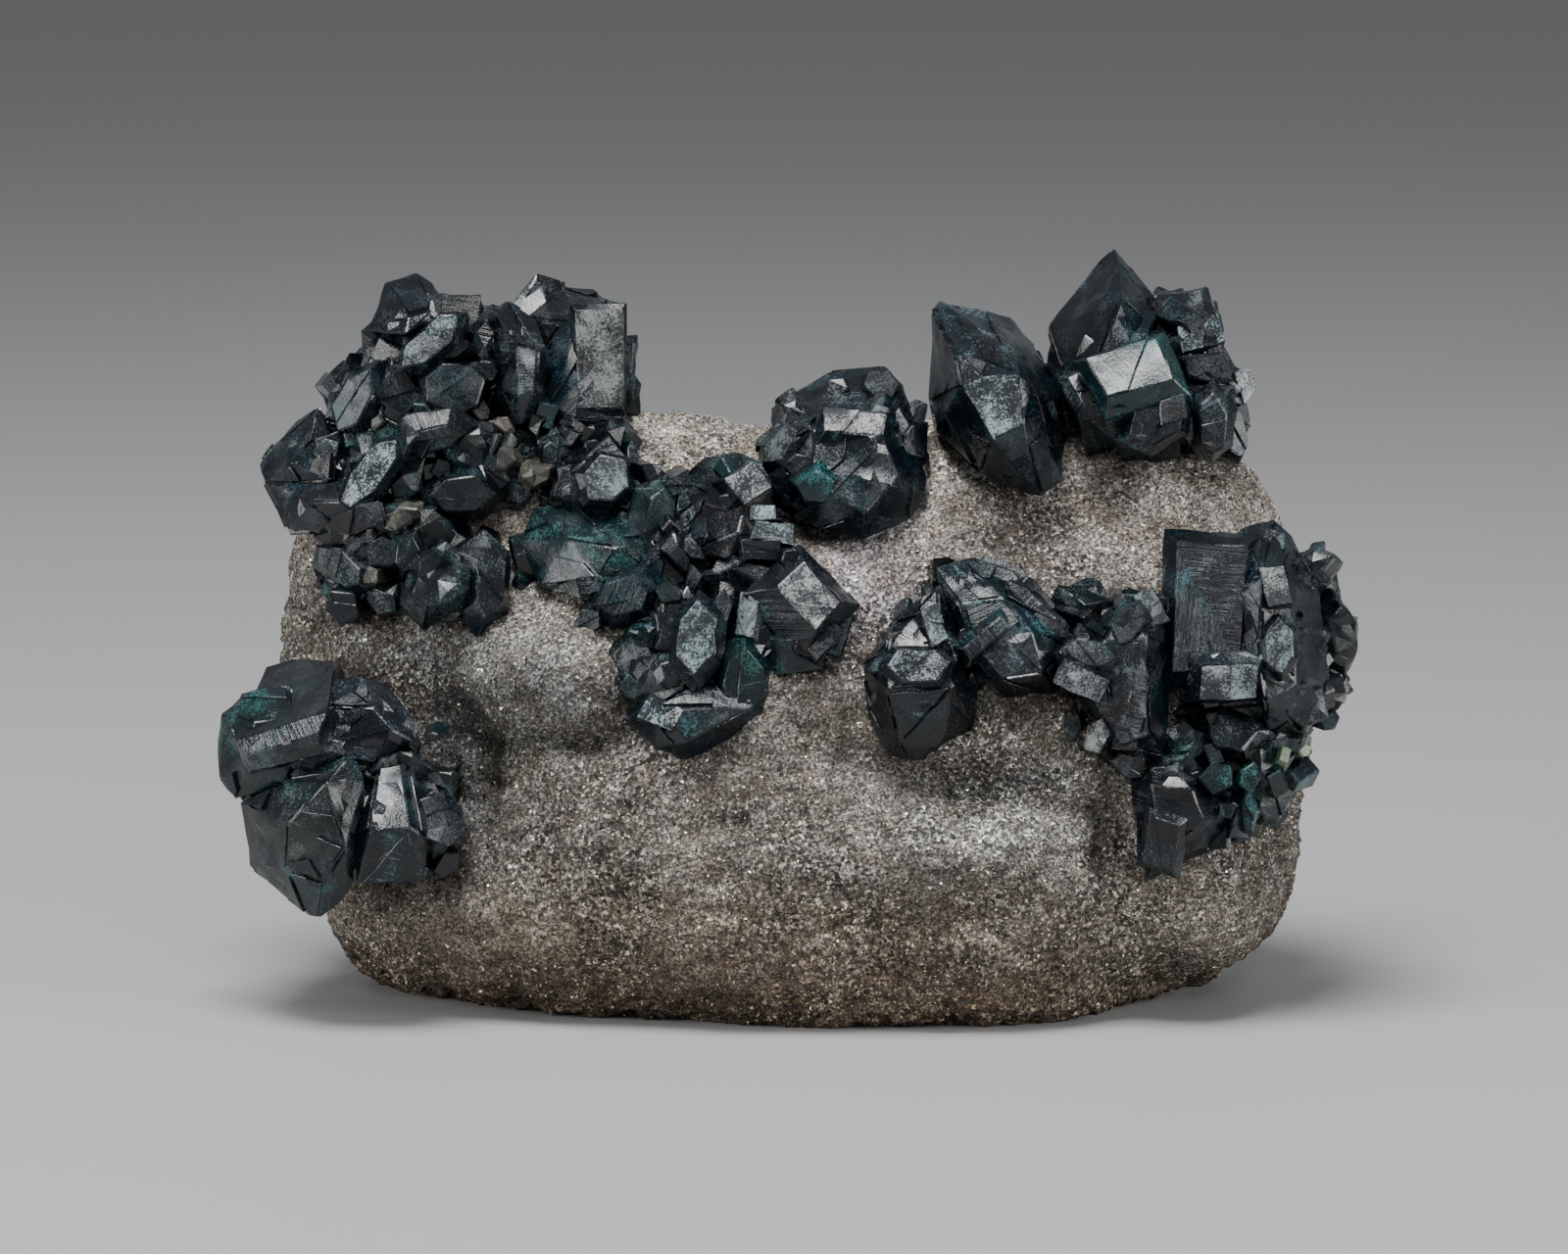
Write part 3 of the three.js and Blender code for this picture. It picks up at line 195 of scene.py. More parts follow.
# Crystals as tablets, each a row of its front face's middle (across, up, out), how it is turned, tilted and
# rolled, its width and height, its face as shares of both, the face's shifts, as shares too, how far behind
# the face it is widest, its depth, its number of sides and its surface. Bits of schist come last in a group.
# Rows leave out shifts of 0, and then the second share where it is the same as the first.
TABLETS = {"crystals_upper_left": [
  bed(-66, 106, 6, -18, 14, 30, 34, 27),
  bed(-46, 105, 7, 4, 8, 0, 24, 27),
  bed(-72, 91, 10, -18, -4, 20, 30, 18, depth=14),
  bed(-50, 92, 11, 2, -6, 0, 26, 16, depth=14),
  bed(-35, 96, 12, 6, 0, 30, 18, 18, depth=14),
  [-74, 109.5, 1, -38, 22, 48, 19, 12, 0.66, 0.55, 0.1, 0, 4, 18, 6, "striated"],
  [-61.5, 113.5, 13, -8, 16, 43, 16, 9, 0.8, 0.66, 3, 14, 6, "bright"],
  [-57, 105.5, 14, 4, 4, 8, 15, 12, 0.72, 0.76, 3, 14, 7, "dark"],
  [-67, 104.5, 12, -14, 2, -12, 10, 12, 0.7, 3, 14, 5, "dark"],
  [-75, 103.5, 10, -30, 8, 62, 16, 11, 0.72, 0.55, 0, -0.1, 4, 16, 6, "granular"],
  [-52.5, 113, 6, -8, 12, 80, 18, 9, 0.5, 0.4, 5, 14, 6, "dark"],
  [-31.8, 110.5, 12.6, 8, 4, 0, 9.5, 19, 0.84, 0.86, 1.2, 8, 4, "bright"],
  [-34.5, 99.5, 11, 4, -24, 2, 14, 9, 0.7, 0.6, 3, 14, 6, "granular"],
  [-31, 89.8, 21, 4, 10, -18, 12, 11, 0.74, 0.76, 0.02, 0, 1.5, 8, 6, "bright"],
  [-61, 96.5, 14, -4, -26, 14, 18, 10, 0.72, 0.5, 3, 14, 6, "striated"],
  [-71.6, 91, 17, -10, 6, 53, 17, 8, 0.84, 0.72, 2, 14, 7, "bright"],
  [-79.5, 95, 9, -14, 12, 40, 8, 6.5, 0.7, 2, 12, 5, "bright"],
  [-84, 82.5, 1, -30, -6, 20, 9, 8, 0.7, 2, 12, 5, "granular"],
  [-56, 87, 14, -2, -8, 6, 16, 11, 0.68, 0.6, 3, 14, 6, "dark"],
  [-51, 98, 12, 6, 2, -20, 9, 7, 0.7, 2, 12, 5, "granular"],
  [-40.5, 94, 12, -18, 4, 84, 14, 7, 0.7, 0.5, 3, 14, 6, "dark"],
  [-66, 88.5, 13, 2, -10, 20, 8, 7, 0.7, 2, 12, 5, "teal"],
  [-58, 118, -20, 170, 40, 0, 16, 13, 0.6, 4, 14, 6, "dark"],
  [-73, 106, -26, 205, 34, 20, 15, 12, 0.6, 4, 14, 6, "granular"],
  [-42, 113, -25, 160, 30, -15, 16, 13, 0.6, 4, 14, 6, "dark"],
  [-42.5, 90.5, 15.5, 4, 0, 20, 7, 6, 0.7, 1.6, 6, 6, "stone"],
  [-48, 93.5, 15, -8, 6, 50, 6.5, 4.5, 0.7, 1.5, 6, 5, "stone"],
  [-48.5, 99.5, 13.5, 0, 10, -20, 6, 4, 0.7, 1.5, 6, 5, "stone"],
  [-66.5, 82.8, 16, -6, -10, 30, 10, 4.5, 0.7, 1.5, 6, 6, "stone"],
  [-71, 99.5, 12, -16, 6, 70, 4.5, 3.5, 0.7, 1.2, 5, 5, "stone"],
], "crystals_left_flank": [
  bed(-66, 76, 14, -8, 0, -4, 40, 25, face_width=0.85, depth=14),
  [-60.5, 72.5, 24, -4, 8, 78, 18, 15, 0.6, 4, 10, 6, "broken"],
  [-51.5, 72, 23, 10, 0, 86, 20, 11, 0.66, 0.5, 0, -0.1, 3, 10, 6, "striated"],
  [-77, 74.5, 14, -18, 10, -42, 13, 8, 0.78, 0.6, 2, 8, 6, "granular"],
  [-76.5, 67.5, 15, -14, -12, -20, 9, 9, 0.7, 2, 7, 5, "dark"],
  [-69.5, 77, 15, -4, 10, 15, 11, 9, 0.68, 0.6, 3, 8, 5, "dark"],
  [-69.5, 68.5, 17, -6, 0, -35, 9, 6, 0.7, 2, 7, 5, "granular"],
  [-78, 80.5, 9, -20, 14, 10, 9, 5, 0.7, 2, 12, 5, "granular"],
  [-72, 73, 16.5, -10, 4, 30, 7, 5, 0.7, 1.5, 6, 5, "stone"],
], "crystals_centre": [
  bed(-35, 77, 17, -4, 0, 14, 34, 26, face_width=0.85, depth=14),
  bed(-12, 81, 21, 0, 4, 30, 28, 22, depth=14),
  bed(-8, 66, 29, 2, 0, -30, 34, 22),
  bed(-27, 63, 26, -10, -4, -40, 22, 18),
  bed(-16, 51, 33, 0, -6, 20, 20, 16),
  [-21.5, 82, 23, 16, 4, 82, 19, 11, 0.66, 0.56, 4, 10, 6, "teal"],
  [-17, 75.5, 28, 8, -18, -38, 11, 6, 0.7, 0.6, 2, 8, 5, "dark"],
  [-6, 89, 28, 8, 6, 34, 8, 7.5, 0.78, 0.76, 1.6, 8, 4, "bright"],
  [-3.6, 84, 28, 4, 10, 0, 6, 4, 0.8, 0.7, 1.2, 7, 4, "bright"],
  [-1.8, 80.6, 29, 10, 12, -6, 9.5, 5.5, 0.8, 0.7, 1.6, 8, 4, "bright"],
  [-4, 77.4, 30, 6, -8, 0, 9, 6, 0.72, 0.6, 2, 8, 4, "granular"],
  [3.6, 68.8, 37, 8, 6, -48, 16, 15, 0.62, 0.46, 0.02, 0.16, 5, 12, 4, "bright"],
  [-6.4, 66, 34, -6, 8, 84, 11, 7, 0.72, 0.5, 2, 10, 4, "bright"],
  [-3, 73, 32, 2, 18, -8, 16, 7, 0.7, 0.4, 3, 10, 6, "dark"],
  [1.6, 59, 34, 6, -10, 6, 13, 8.5, 0.62, 0.7, 0.2, 0, 2.5, 8, 4, "teal"],
  [-15.2, 62.5, 38, -2, 10, 84, 18, 11, 0.72, 0.66, 3, 12, 6, "bright"],
  [-28, 69.5, 30, -10, 4, 14, 16, 12, 0.6, 0.55, 4, 10, 6, "striated"],
  [-20, 70, 33, -2, 6, 30, 7, 7, 0.6, 2, 7, 5, "teal"],
  [-34, 65, 27, -24, -6, 40, 9, 8, 0.6, 3, 8, 5, "granular"],
  [-26.5, 58.5, 32, -18, -4, 50, 16, 12, 0.6, 4, 10, 6, "broken"],
  [-7.2, 54, 37, 8, -4, 82, 17, 12, 0.68, 0.62, 4, 11, 7, "teal"],
  [-21.3, 49, 38, -8, 6, -26, 8.5, 6.5, 0.76, 0.72, 2, 8, 4, "bright"],
  [-20.5, 55, 36, -6, 0, 20, 14, 10, 0.6, 3, 10, 6, "broken"],
], "crystals_upper_middle": [
  bed(4, 95, 14, -12, 10, 40, 20, 18),
  [12, 99.5, 22.5, 2, 22, -4, 14, 7, 0.78, 0.64, 2.5, 20, 4, "bright"],
  [0.3, 96, 17, -20, 10, 44, 14, 8.5, 0.76, 0.56, 2.5, 16, 6, "granular"],
  [16.8, 106, 10, 8, 16, 6, 9.5, 9.5, 0.66, 0.7, 2.5, 18, 6, "granular"],
  [9.2, 105.8, 9, -6, 18, -8, 7, 7, 0.6, 2, 14, 5, "granular"],
  [5.6, 88, 25, -12, -10, 20, 11, 9, 0.66, 0.62, 3, 16, 5, "teal"],
  [22, 94, 16, 38, 2, 84, 18, 11, 0.6, 0.5, 3, 16, 6, "dark"],
  [23.2, 102, 4, 10, 20, 20, 6, 6, 0.6, 2, 14, 5, "granular"],
  [2, 92, 20, -10, -16, 30, 9, 6, 0.7, 0.6, 2, 14, 5, "granular"],
  [10, 101, -10, 176, 30, 0, 17, 14, 0.6, 4, 16, 6, "dark"],
], "crystals_upper_right": [
  bed(66, 106, 8, 6, 6, 20, 28, 22),
  [60.5, 108.5, 20, -8, 26, 22, 16, 13, 0.76, 0.66, 0, 0.05, 3, 18, 4, "teal"],
  [64.5, 100, 19, 4, -6, 22, 14, 12, 0.7, 0.66, 3, 16, 6, "granular"],
  [67.6, 101.8, 21, 6, 2, 12, 6.5, 6, 0.76, 0.72, 1.5, 14, 4, "granular"],
  [73, 109, 13, 8, 12, -6, 12, 8, 0.7, 0.6, 3, 16, 5, "dark"],
  [72.3, 115, 6, 12, 24, 16, 10, 8, 0.8, 0.7, 2, 18, 4, "bright"],
  [69, 119.6, -3, 12, 20, 8, 11, 7, 0.7, 2, 18, 4, "granular"],
  [79.3, 105.8, 5, 26, 10, -14, 8, 10, 0.7, 2, 16, 5, "bright"],
  [74.5, 99, 16, 2, -4, 88, 15, 9.5, 0.7, 0.56, 3, 16, 6, "dark"],
  [78.3, 98, 11, 34, 0, -76, 13, 7, 0.76, 0.6, 2, 14, 6, "bright"],
  [55, 102.5, 15, -10, -24, 20, 11, 7, 0.7, 0.6, 2, 14, 5, "striated"],
  [60, 114, -20, 188, 26, 10, 18, 15, 0.6, 5, 16, 6, "dark"],
  [73, 108, -20, 160, 24, -20, 14, 12, 0.6, 4, 16, 6, "granular"],
], "crystals_middle_right": [
  bed(34, 63, 31, 2, 4, -30, 32, 24),
  bed(23, 51, 35, -4, 0, 70, 24, 19),
  [23.2, 57, 43.6, -2, 4, 4, 14, 10, 0.74, 0.66, 0.05, 0.05, 2.5, 10, 6, "bright"],
  [26.3, 64.5, 41.5, 10, 10, -72, 9, 5.5, 0.74, 0.6, 1.6, 10, 4, "bright"],
  [44, 67, 35, 12, 10, -46, 18, 7, 0.84, 0.5, 2, 11, 6, "striated"],
  [36.5, 73.5, 32, 2, 24, -16, 14, 7, 0.7, 0.5, 3, 11, 6, "granular"],
  [35, 62, 41, 10, -4, 40, 11, 5, 0.76, 0.5, 2, 8, 4, "striated"],
], "crystals_right_step": [
  bed(57, 54, 33, 0, 2, 70, 30, 20),
  [51.6, 54.8, 43, -12, -16, -26, 10, 6.5, 0.84, 0.7, 1.5, 10, 4, "bright"],
  [53, 59.4, 42, -4, 16, -8, 13, 9, 0.74, 0.6, 2.5, 11, 6, "granular"],
  [60, 64.6, 40.5, 4, 8, 60, 11, 8, 0.74, 0.62, 3, 11, 6, "granular"],
  [63.8, 67.3, 37, 22, 12, -66, 9, 6.5, 0.74, 0.66, 2, 10, 4, "bright"],
  [54.3, 45.2, 41, -16, 4, 66, 8.5, 7, 0.76, 0.72, 1.8, 10, 5, "bright"],
  [59.4, 46, 39, 12, -2, 84, 10, 8, 0.7, 0.6, 2.5, 10, 4, "granular"],
  [50.2, 46.5, 36, -14, -4, 70, 10, 6, 0.6, 2, 8, 5, "dark"],
  [60, 40, 35, 4, -20, -30, 11, 8, 0.6, 3, 8, 5, "dark"],
  [56, 50.5, 36.5, 0, 0, 30, 4, 3, 0.7, 1.2, 5, 5, "stone"],
], "crystals_right_flank": [
  bed(84, 65, 24, 14, 2, 88, 34, 26),
  [74, 67, 33, 2, 8, 88, 27, 16, 0.8, 0.72, 4, 13, 4, "striated"],
  [77, 54.3, 38, 4, -14, 2, 14, 9, 0.72, 0.66, 0.06, 0, 3, 12, 4, "bright"],
  [85.5, 71, 36.2, 4, 10, -80, 9, 6, 0.8, 0.76, 1.2, 8, 4, "bright"],
  [86, 61, 37.6, 4, 4, -84, 12, 7, 0.8, 0.7, 1.2, 8, 6, "bright"],
  [84.5, 79, 26, 2, 22, 30, 9, 9, 0.6, 3, 12, 5, "granular"],
  [79.5, 74.5, 28, -12, 12, 60, 12, 8, 0.6, 0.5, 3, 11, 5, "dark"],
  [90.8, 75.6, 16, 18, 12, 0, 7.5, 6.5, 0.6, 2, 10, 5, "teal"],
  [97.4, 62.5, 17, 26, 6, -84, 15, 9, 0.6, 3, 11, 6, "broken"],
  [96.3, 53.5, 15, 34, -4, 80, 11, 6.5, 0.6, 3, 11, 5, "teal"],
  [94.8, 47.5, 18, 20, -14, 20, 7, 6, 0.6, 2, 10, 5, "teal"],
  [89.5, 50.5, 32, 18, -16, -70, 12, 9, 0.7, 0.62, 3, 11, 5, "granular"],
  [94, 66, -8, 100, 8, 0, 16, 20, 0.6, 4, 14, 6, "dark"],
], "crystals_right_foot": [
  bed(77, 43, 29, 4, 4, 8, 32, 26),
  bed(71, 31, 32, 0, -6, 30, 24, 18),
  [65.5, 26.5, 39, -8, -8, 78, 11, 8, 0.76, 0.7, 1.5, 9, 4, "dark"],
  [65.5, 36.5, 36, -14, 2, 62, 14, 12, 0.6, 3, 11, 6, "broken"],
  [69, 45, 34, -4, 10, 20, 11, 9, 0.6, 3, 11, 5, "broken"],
  [78, 46, 33, 6, 10, -8, 15, 10, 0.6, 3, 11, 6, "broken"],
  [75, 38, 37, 2, 4, 40, 10, 9, 0.6, 3, 11, 5, "teal"],
  [81, 38, 34, 12, 2, 70, 10, 7, 0.6, 2, 11, 5, "teal"],
  [85.3, 34, 26, 26, -8, 70, 12, 10, 0.66, 0.6, 3, 11, 6, "teal"],
  [80.6, 32, 33, 10, -6, 88, 11, 4, 0.7, 0.6, 1.5, 8, 5, "teal"],
  [86.8, 41.8, 31, 12, 10, 74, 4, 3, 0.7, 0.6, 1.2, 7, 4, "pale"],
  [90.6, 42.6, 23, 30, 8, 30, 5, 3.5, 0.6, 1.5, 8, 5, "pale"],
  [76, 32, 35, 4, -12, 30, 10, 7, 0.7, 0.6, 2, 10, 5, "broken"],
], "crystals_lower_left": [
  bed(-85, 39, 28, -14, 0, 70, 30, 25),
  bed(-67, 34, 32, 4, 0, 30, 26, 20),
  [-87, 42, 36, -8, -28, 16, 17, 8, 0.78, 0.5, 3, 18, 4, "granular"],
  [-80, 42.5, 36, 0, 8, 24, 14, 8, 0.6, 0.5, 3, 16, 6, "dark"],
  [-59, 29.5, 35, 22, 4, -22, 13, 13, 0.62, 0.6, 4, 18, 6, "granular"],
  [-60.5, 33.5, 36, 4, 14, 20, 7, 5, 0.7, 0.6, 2, 14, 4, "granular"],
  [-58.5, 22.5, 33, 14, -18, 40, 10, 8, 0.6, 3, 16, 5, "dark"],
]}
# Larger crystals: a surface, and the corners that the crystal is the hull of, each by across, up and out.
WEDGES = {"crystals_upper_left": [
  ["dark", -47.5, 119.5, -1, -42.7, 125.2, -4, -38.6, 124, -5, -37.4, 120, -4, -49, 112, 4, -38, 110, 4,
   -44, 123.5, -18, -38, 121, -20, -49, 112, -20, -37, 110, -22],
  ["granular", -70.3, 119.1, 2, -69.1, 123.8, -3, -63.8, 125.3, -6, -59, 121.5, -3, -57.2, 118.5, 2,
   -65.5, 115, 9, -72.1, 115.5, 4, -66, 121, 2, -61, 119, 5, -65, 118, 7, -68, 122, -20, -60, 120, -20,
   -64, 112, -16],
  ["granular", -50.1, 118.5, 4, -48.3, 120.5, 2, -42.9, 117.3, 5, -41.1, 112.5, 10, -41.1, 103.6, 12,
   -45.3, 98.9, 14, -48.9, 105.4, 13, -46.5, 113, 14, -43, 112, 14.5, -43.5, 105, 17, -46, 104, 16.5,
   -47, 114, -10, -44, 104, -6],
  ["dark", -44.7, 117.3, 2, -38.6, 122.7, -4, -32.8, 122.3, -4, -27.7, 119.7, 4, -27.7, 111.4, 8,
   -28.1, 100, 11, -35.8, 100, 14, -41, 102, 12, -35.5, 116.5, 11, -35.5, 104, 14.5, -28.6, 116, 10,
   -40, 115, 6, -40, 118, -18, -30, 116, -18, -30, 104, -10, -40, 104, -10],
  ["dark", -36.4, 95.9, 10, -29.2, 95.3, 11, -24.5, 89.3, 15, -24.5, 84.6, 16, -31.6, 82.8, 18,
   -37.6, 85.2, 16, -39, 92, 12, -35, 92.5, 18, -29.5, 93, 18, -27, 87.5, 20, -35, 86, 21, -34, 92, 0,
   -28, 90, 2, -32, 85, 4],
  ["dark", -91.1, 92.3, -2, -88.1, 95.9, -4, -84, 100, -4, -80.4, 102.4, 0, -78, 94.7, 10,
   -78.6, 89.3, 11, -90, 89.3, 2, -86, 92, 6, -82, 96, 6, -88, 94, -16, -82, 98, -16, -82, 90, -14],
  ["granular", -90, 89.3, 3, -76, 89.5, 12, -70, 86, 16, -69, 82, 16, -75, 79.8, 14, -86, 81, 8,
   -82, 85.5, 13, -74, 85.5, 17, -86, 86, -10, -74, 84, -6],
], "crystals_centre": [
  ["teal", -45.9, 79.2, 16, -43.5, 84.6, 14, -37.6, 85.8, 15, -26.9, 82.8, 20, -20.9, 78, 24,
   -23.3, 73.3, 25, -34, 68.5, 25, -42.3, 70.9, 20, -38, 79, 23, -29, 77.5, 27, -32, 72.5, 27.5,
   -38, 80, 4, -28, 76, 8, -36, 72, 8],
  ["striated", -17.9, 89.3, 16, -13.8, 93.5, 14, -7.8, 94.4, 14, -3.7, 92.3, 18, -1.9, 88.7, 24,
   -2.5, 80, 28, -10, 76, 28, -17.3, 76.8, 26, -18.5, 82.8, 21, -13, 87, 23, -7, 87, 26.5, -8, 80.5, 29,
   -14, 88, 2, -6, 86, 4, -10, 78, 8],
  ["granular", -27.5, 48.3, 32, -25, 55, 32, -12, 56, 34, -3, 54.2, 34, -2.5, 48.3, 34, -9, 44, 34,
   -17.3, 40.5, 34, -22.1, 42.3, 34, -22, 50, 38, -12, 50, 39, -6, 50, 38, -17, 44, 38.5, -20, 52, 16,
   -8, 52, 16, -16, 44, 16],
], "crystals_upper_middle": [
  ["dark", 0.3, 104, 6, 7.7, 108, 2, 17.9, 109.3, 2, 20.7, 106, 4, 24.7, 93, 12, 24.3, 87, 16,
   21.3, 82.5, 20, 13.6, 79, 24, 6, 81, 23, -1.7, 88, 18, -4.3, 93, 12, 5, 98, 20, 17, 98, 23,
   20, 90, 25, 14, 84, 27, 5, 88, 24, 5, 104, -14, 18, 104, -14, 18, 86, -6, 4, 88, -6],
], "crystal_upper_right_spike": [
  ["bright", 27, 121, 3, 39.5, 117.3, -4, 43.5, 113, -5, 45.5, 110, -5, 26, 119.5, 0, 25.3, 104, 0,
   30, 111.8, 17, 40, 111, 16, 31, 105.8, 22, 34.5, 107.3, 22.5, 40.5, 107.8, 21.5, 42.6, 105.3, 20,
   41.5, 99.3, 21, 36.4, 96.6, 22, 26.5, 98.5, 6, 34.5, 90.3, 14, 44.5, 86.4, 15, 47.8, 89, 11,
   49, 97, 4, 48.2, 104, 0, 44, 110, -18, 28, 116, -16, 28, 96, -16, 46, 92, -12],
], "crystals_upper_right": [
  ["striated", 57.3, 129.8, -5, 47.5, 119, -7, 46.2, 116.5, -6, 46, 110, -3, 47, 103.5, 1, 51.5, 101, 12,
   58.5, 120.8, 8, 63.8, 121.8, -5, 68.5, 112, -3, 62, 101, 10, 49, 104, -20, 66, 108, -20, 57, 122, -16],
], "crystals_middle_right": [
  ["dark", 26.5, 70.5, 33, 20, 66, 34, 13.4, 57, 34, 14.5, 49, 34, 16.5, 42, 34, 24, 38.3, 33,
   33, 46.2, 33, 34, 52.5, 34, 31, 62, 35, 18, 60, 40, 27, 61, 41, 29, 54, 42, 18, 53, 42.5, 20, 44, 39,
   28, 45, 38, 22, 66, 20, 18, 44, 20, 30, 48, 20],
  ["striated", 26, 74.8, 30, 32.5, 76.3, 29, 38.8, 74.8, 29, 45, 67.3, 31, 51, 62, 33, 46.8, 52.5, 34,
   37.7, 52.5, 34, 31.3, 57.8, 34, 31, 68, 37, 38, 69, 37.5, 43, 63, 39.5, 45, 56.5, 40, 38, 55.5, 40.5,
   33.5, 60, 39, 30, 70, 18, 44, 66, 18, 44, 55, 18, 34, 57, 18],
], "crystals_right_step": [
  ["striated", 59.8, 71, 33, 66.3, 69.5, 32, 67, 60, 33, 65.8, 42, 33, 60.9, 40.5, 33, 55, 47, 34,
   47.3, 56.3, 34, 52, 63.5, 34, 55.6, 61.5, 41, 57.8, 43.7, 40, 63, 62, 40, 63, 45, 38.5, 60, 68, 37,
   51, 57, 40, 56, 68, 18, 64, 66, 18, 64, 44, 18, 52, 50, 18],
], "crystals_right_flank": [
  ["granular", 79.2, 81, 24, 84.8, 83, 20, 88, 80, 18, 93, 69.7, 20, 94, 57.3, 22, 94.5, 51, 22,
   90.4, 45, 26, 84, 46, 30, 80.4, 57.3, 34, 79.2, 69.7, 33, 83, 73, 35, 87.5, 71, 33.5, 89, 54, 34.5,
   84, 51, 36.5, 82.5, 62, 36.5, 86, 76, 2, 93, 60, 0, 86, 50, 2],
], "crystals_right_foot": [
  ["dark", 59.8, 37.7, 32, 62, 43, 32, 72.6, 40, 33, 78.9, 31.5, 31, 73.6, 25, 31, 63, 19.7, 32,
   61, 27, 33, 64, 36.5, 38, 71, 36, 39, 73, 30, 38.5, 65.5, 26, 38, 64, 37, 16, 74, 32, 16, 65, 24, 16],
], "crystals_lower_left": [
  ["striated", -72, 28.6, 41, -65, 29.2, 41.5, -62, 27, 40, -63, 20, 38, -74, 19.6, 38, -74.5, 27, 37,
   -70, 39.5, 33, -66.5, 40.2, 33, -62.4, 36, 32, -72, 32, 34, -61, 24, 32, -70, 36, 16, -62, 34, 16,
   -62, 22, 16, -73, 22, 16],
  ["teal", -97.6, 49, 24, -94.5, 51.9, 22, -89, 53.6, 22, -85.7, 53.4, 24, -82.3, 48.5, 28,
   -82.6, 46, 31, -97.8, 37.6, 24, -98.2, 44.4, 22, -95, 34, 26, -86, 36, 32, -92, 47.5, 31,
   -86, 48.5, 32, -92, 41, 33, -86, 42, 34, -92, 48, 8, -92, 38, 8, -84, 44, 8],
  ["dark", -81.6, 53, 26, -77.5, 55, 25, -72.8, 55, 26, -68, 53, 28, -64.6, 48.5, 30, -64, 44, 31,
   -71.4, 40.3, 33, -80, 42, 33, -78, 50, 31, -71, 50, 33, -68, 46, 34, -78, 50, 10, -68, 48, 12,
   -74, 42, 10],
  ["broken", -94.5, 33.5, 25, -92.8, 22.6, 25, -85.7, 17.5, 29, -82.6, 14, 31, -80.9, 13.6, 32,
   -75.8, 17.5, 34, -73.4, 22.6, 36, -72.8, 38, 36, -74.8, 42, 35, -86.4, 37, 34, -79.5, 37, 41,
   -76, 26, 41.5, -79.5, 20, 38, -86, 30, 38.5, -86, 22, 35, -88, 32, 8, -86, 20, 12, -76, 34, 12],
]}


def schist_material():
    tree = Tree("mica_schist", Roughness=0.72, Specular_IOR_Level=0.3)
    stone = tree.attribute("stone")["Color"]
    grains = tree.grains(0.62)
    fine_grains = tree.grains(0.34)
    # Grains lighter and darker at random; the brightest few, at nearly four times the stone, are painted
    # mica glints.
    speckle = tree.ramp(grains["Color"], (0.2, 0.15), (0.5, 0.78), (0.78, 1.55), (0.95, 3.8))
    fine_speckle = tree.ramp(fine_grains["Color"], (0.2, 0.3), (0.5, 0.92), (0.8, 2.1))
    clouds = tree.noise(15, detail=5, roughness=0.6)
    clouds = tree.ramp(clouds, (0.36, (0.6, 0.57, 0.54)), (0.64, (1.35, 1.35, 1.35)))
    stains = tree.noise(5, detail=5, roughness=0.7)
    stains = tree.ramp(stains, (0.38, (0.72, 0.64, 0.57)), (0.56, (1.08, 1.08, 1.08)))
    calm = tree.ramp(tree.noise(20, detail=4, roughness=0.6), (0.4, 0.25), (0.58, 1.0))
    speckle = tree.mix(calm, (1, 1, 1), speckle)
    for change in (speckle, fine_speckle, clouds, stains):
        stone = tree.mix(1.0, stone, change, "MULTIPLY")
    tree.surface("Base Color", stone)
    layers = tree.vector_math("MULTIPLY", tree.place, (0.4, 0.4, 1.2))
    layering = tree.noise(2.6, detail=8, roughness=0.72, place=layers)
    normal = tree.bump(layering, 0.8, 0.9)
    normal = tree.bump(grains["Distance"], 0.3, 0.8, under=normal)
    tree.surface("Normal", normal)
    return tree.material


def mica_material():
    tree = Tree("mica_flakes", Roughness=0.3, Specular_IOR_Level=0.8, Metallic=0.3)
    tree.surface("Base Color", tree.attribute("tint")["Color"])
    return tree.material


# How each kind of crystal face looks: its darker and lighter colours, the share of lighter specks,
# its roughness, and how strongly it is striped and cracked. The bright kind's light grey is a painted
# reflection of the lamps on the face.
FACE_LOOKS = {
    "dark": ((0.0018, 0.0028, 0.0045), (0.017, 0.022, 0.028), 0.42, 0.24, 0.25, 0.0),
    "striated": ((0.0022, 0.0036, 0.006), (0.06, 0.07, 0.078), 0.38, 0.24, 0.9, 0.0),
    "granular": ((0.005, 0.0068, 0.009), (0.065, 0.07, 0.075), 0.42, 0.36, 0.2, 0.4),
    "bright": ((0.012, 0.014, 0.017), (0.25, 0.255, 0.255), 0.49, 0.42, 0.15, 0.8),
    "teal": ((0.0025, 0.0075, 0.009), (0.018, 0.075, 0.072), 0.38, 0.3, 0.3, 0.0),
    "broken": ((0.0022, 0.0042, 0.0054), (0.045, 0.066, 0.07), 0.38, 0.34, 0.2, 0.0),
    "stone": ((0.03, 0.026, 0.021), (0.15, 0.128, 0.1), 0.42, 0.6, 0.1, 0.0),
    "pale": ((0.12, 0.15, 0.08), (0.5, 0.52, 0.34), 0.6, 0.4, 0.1, 0.2),
}
# Kinds without a teal hue and bloom.
PLAIN_LOOKS = ("bright", "pale", "stone")


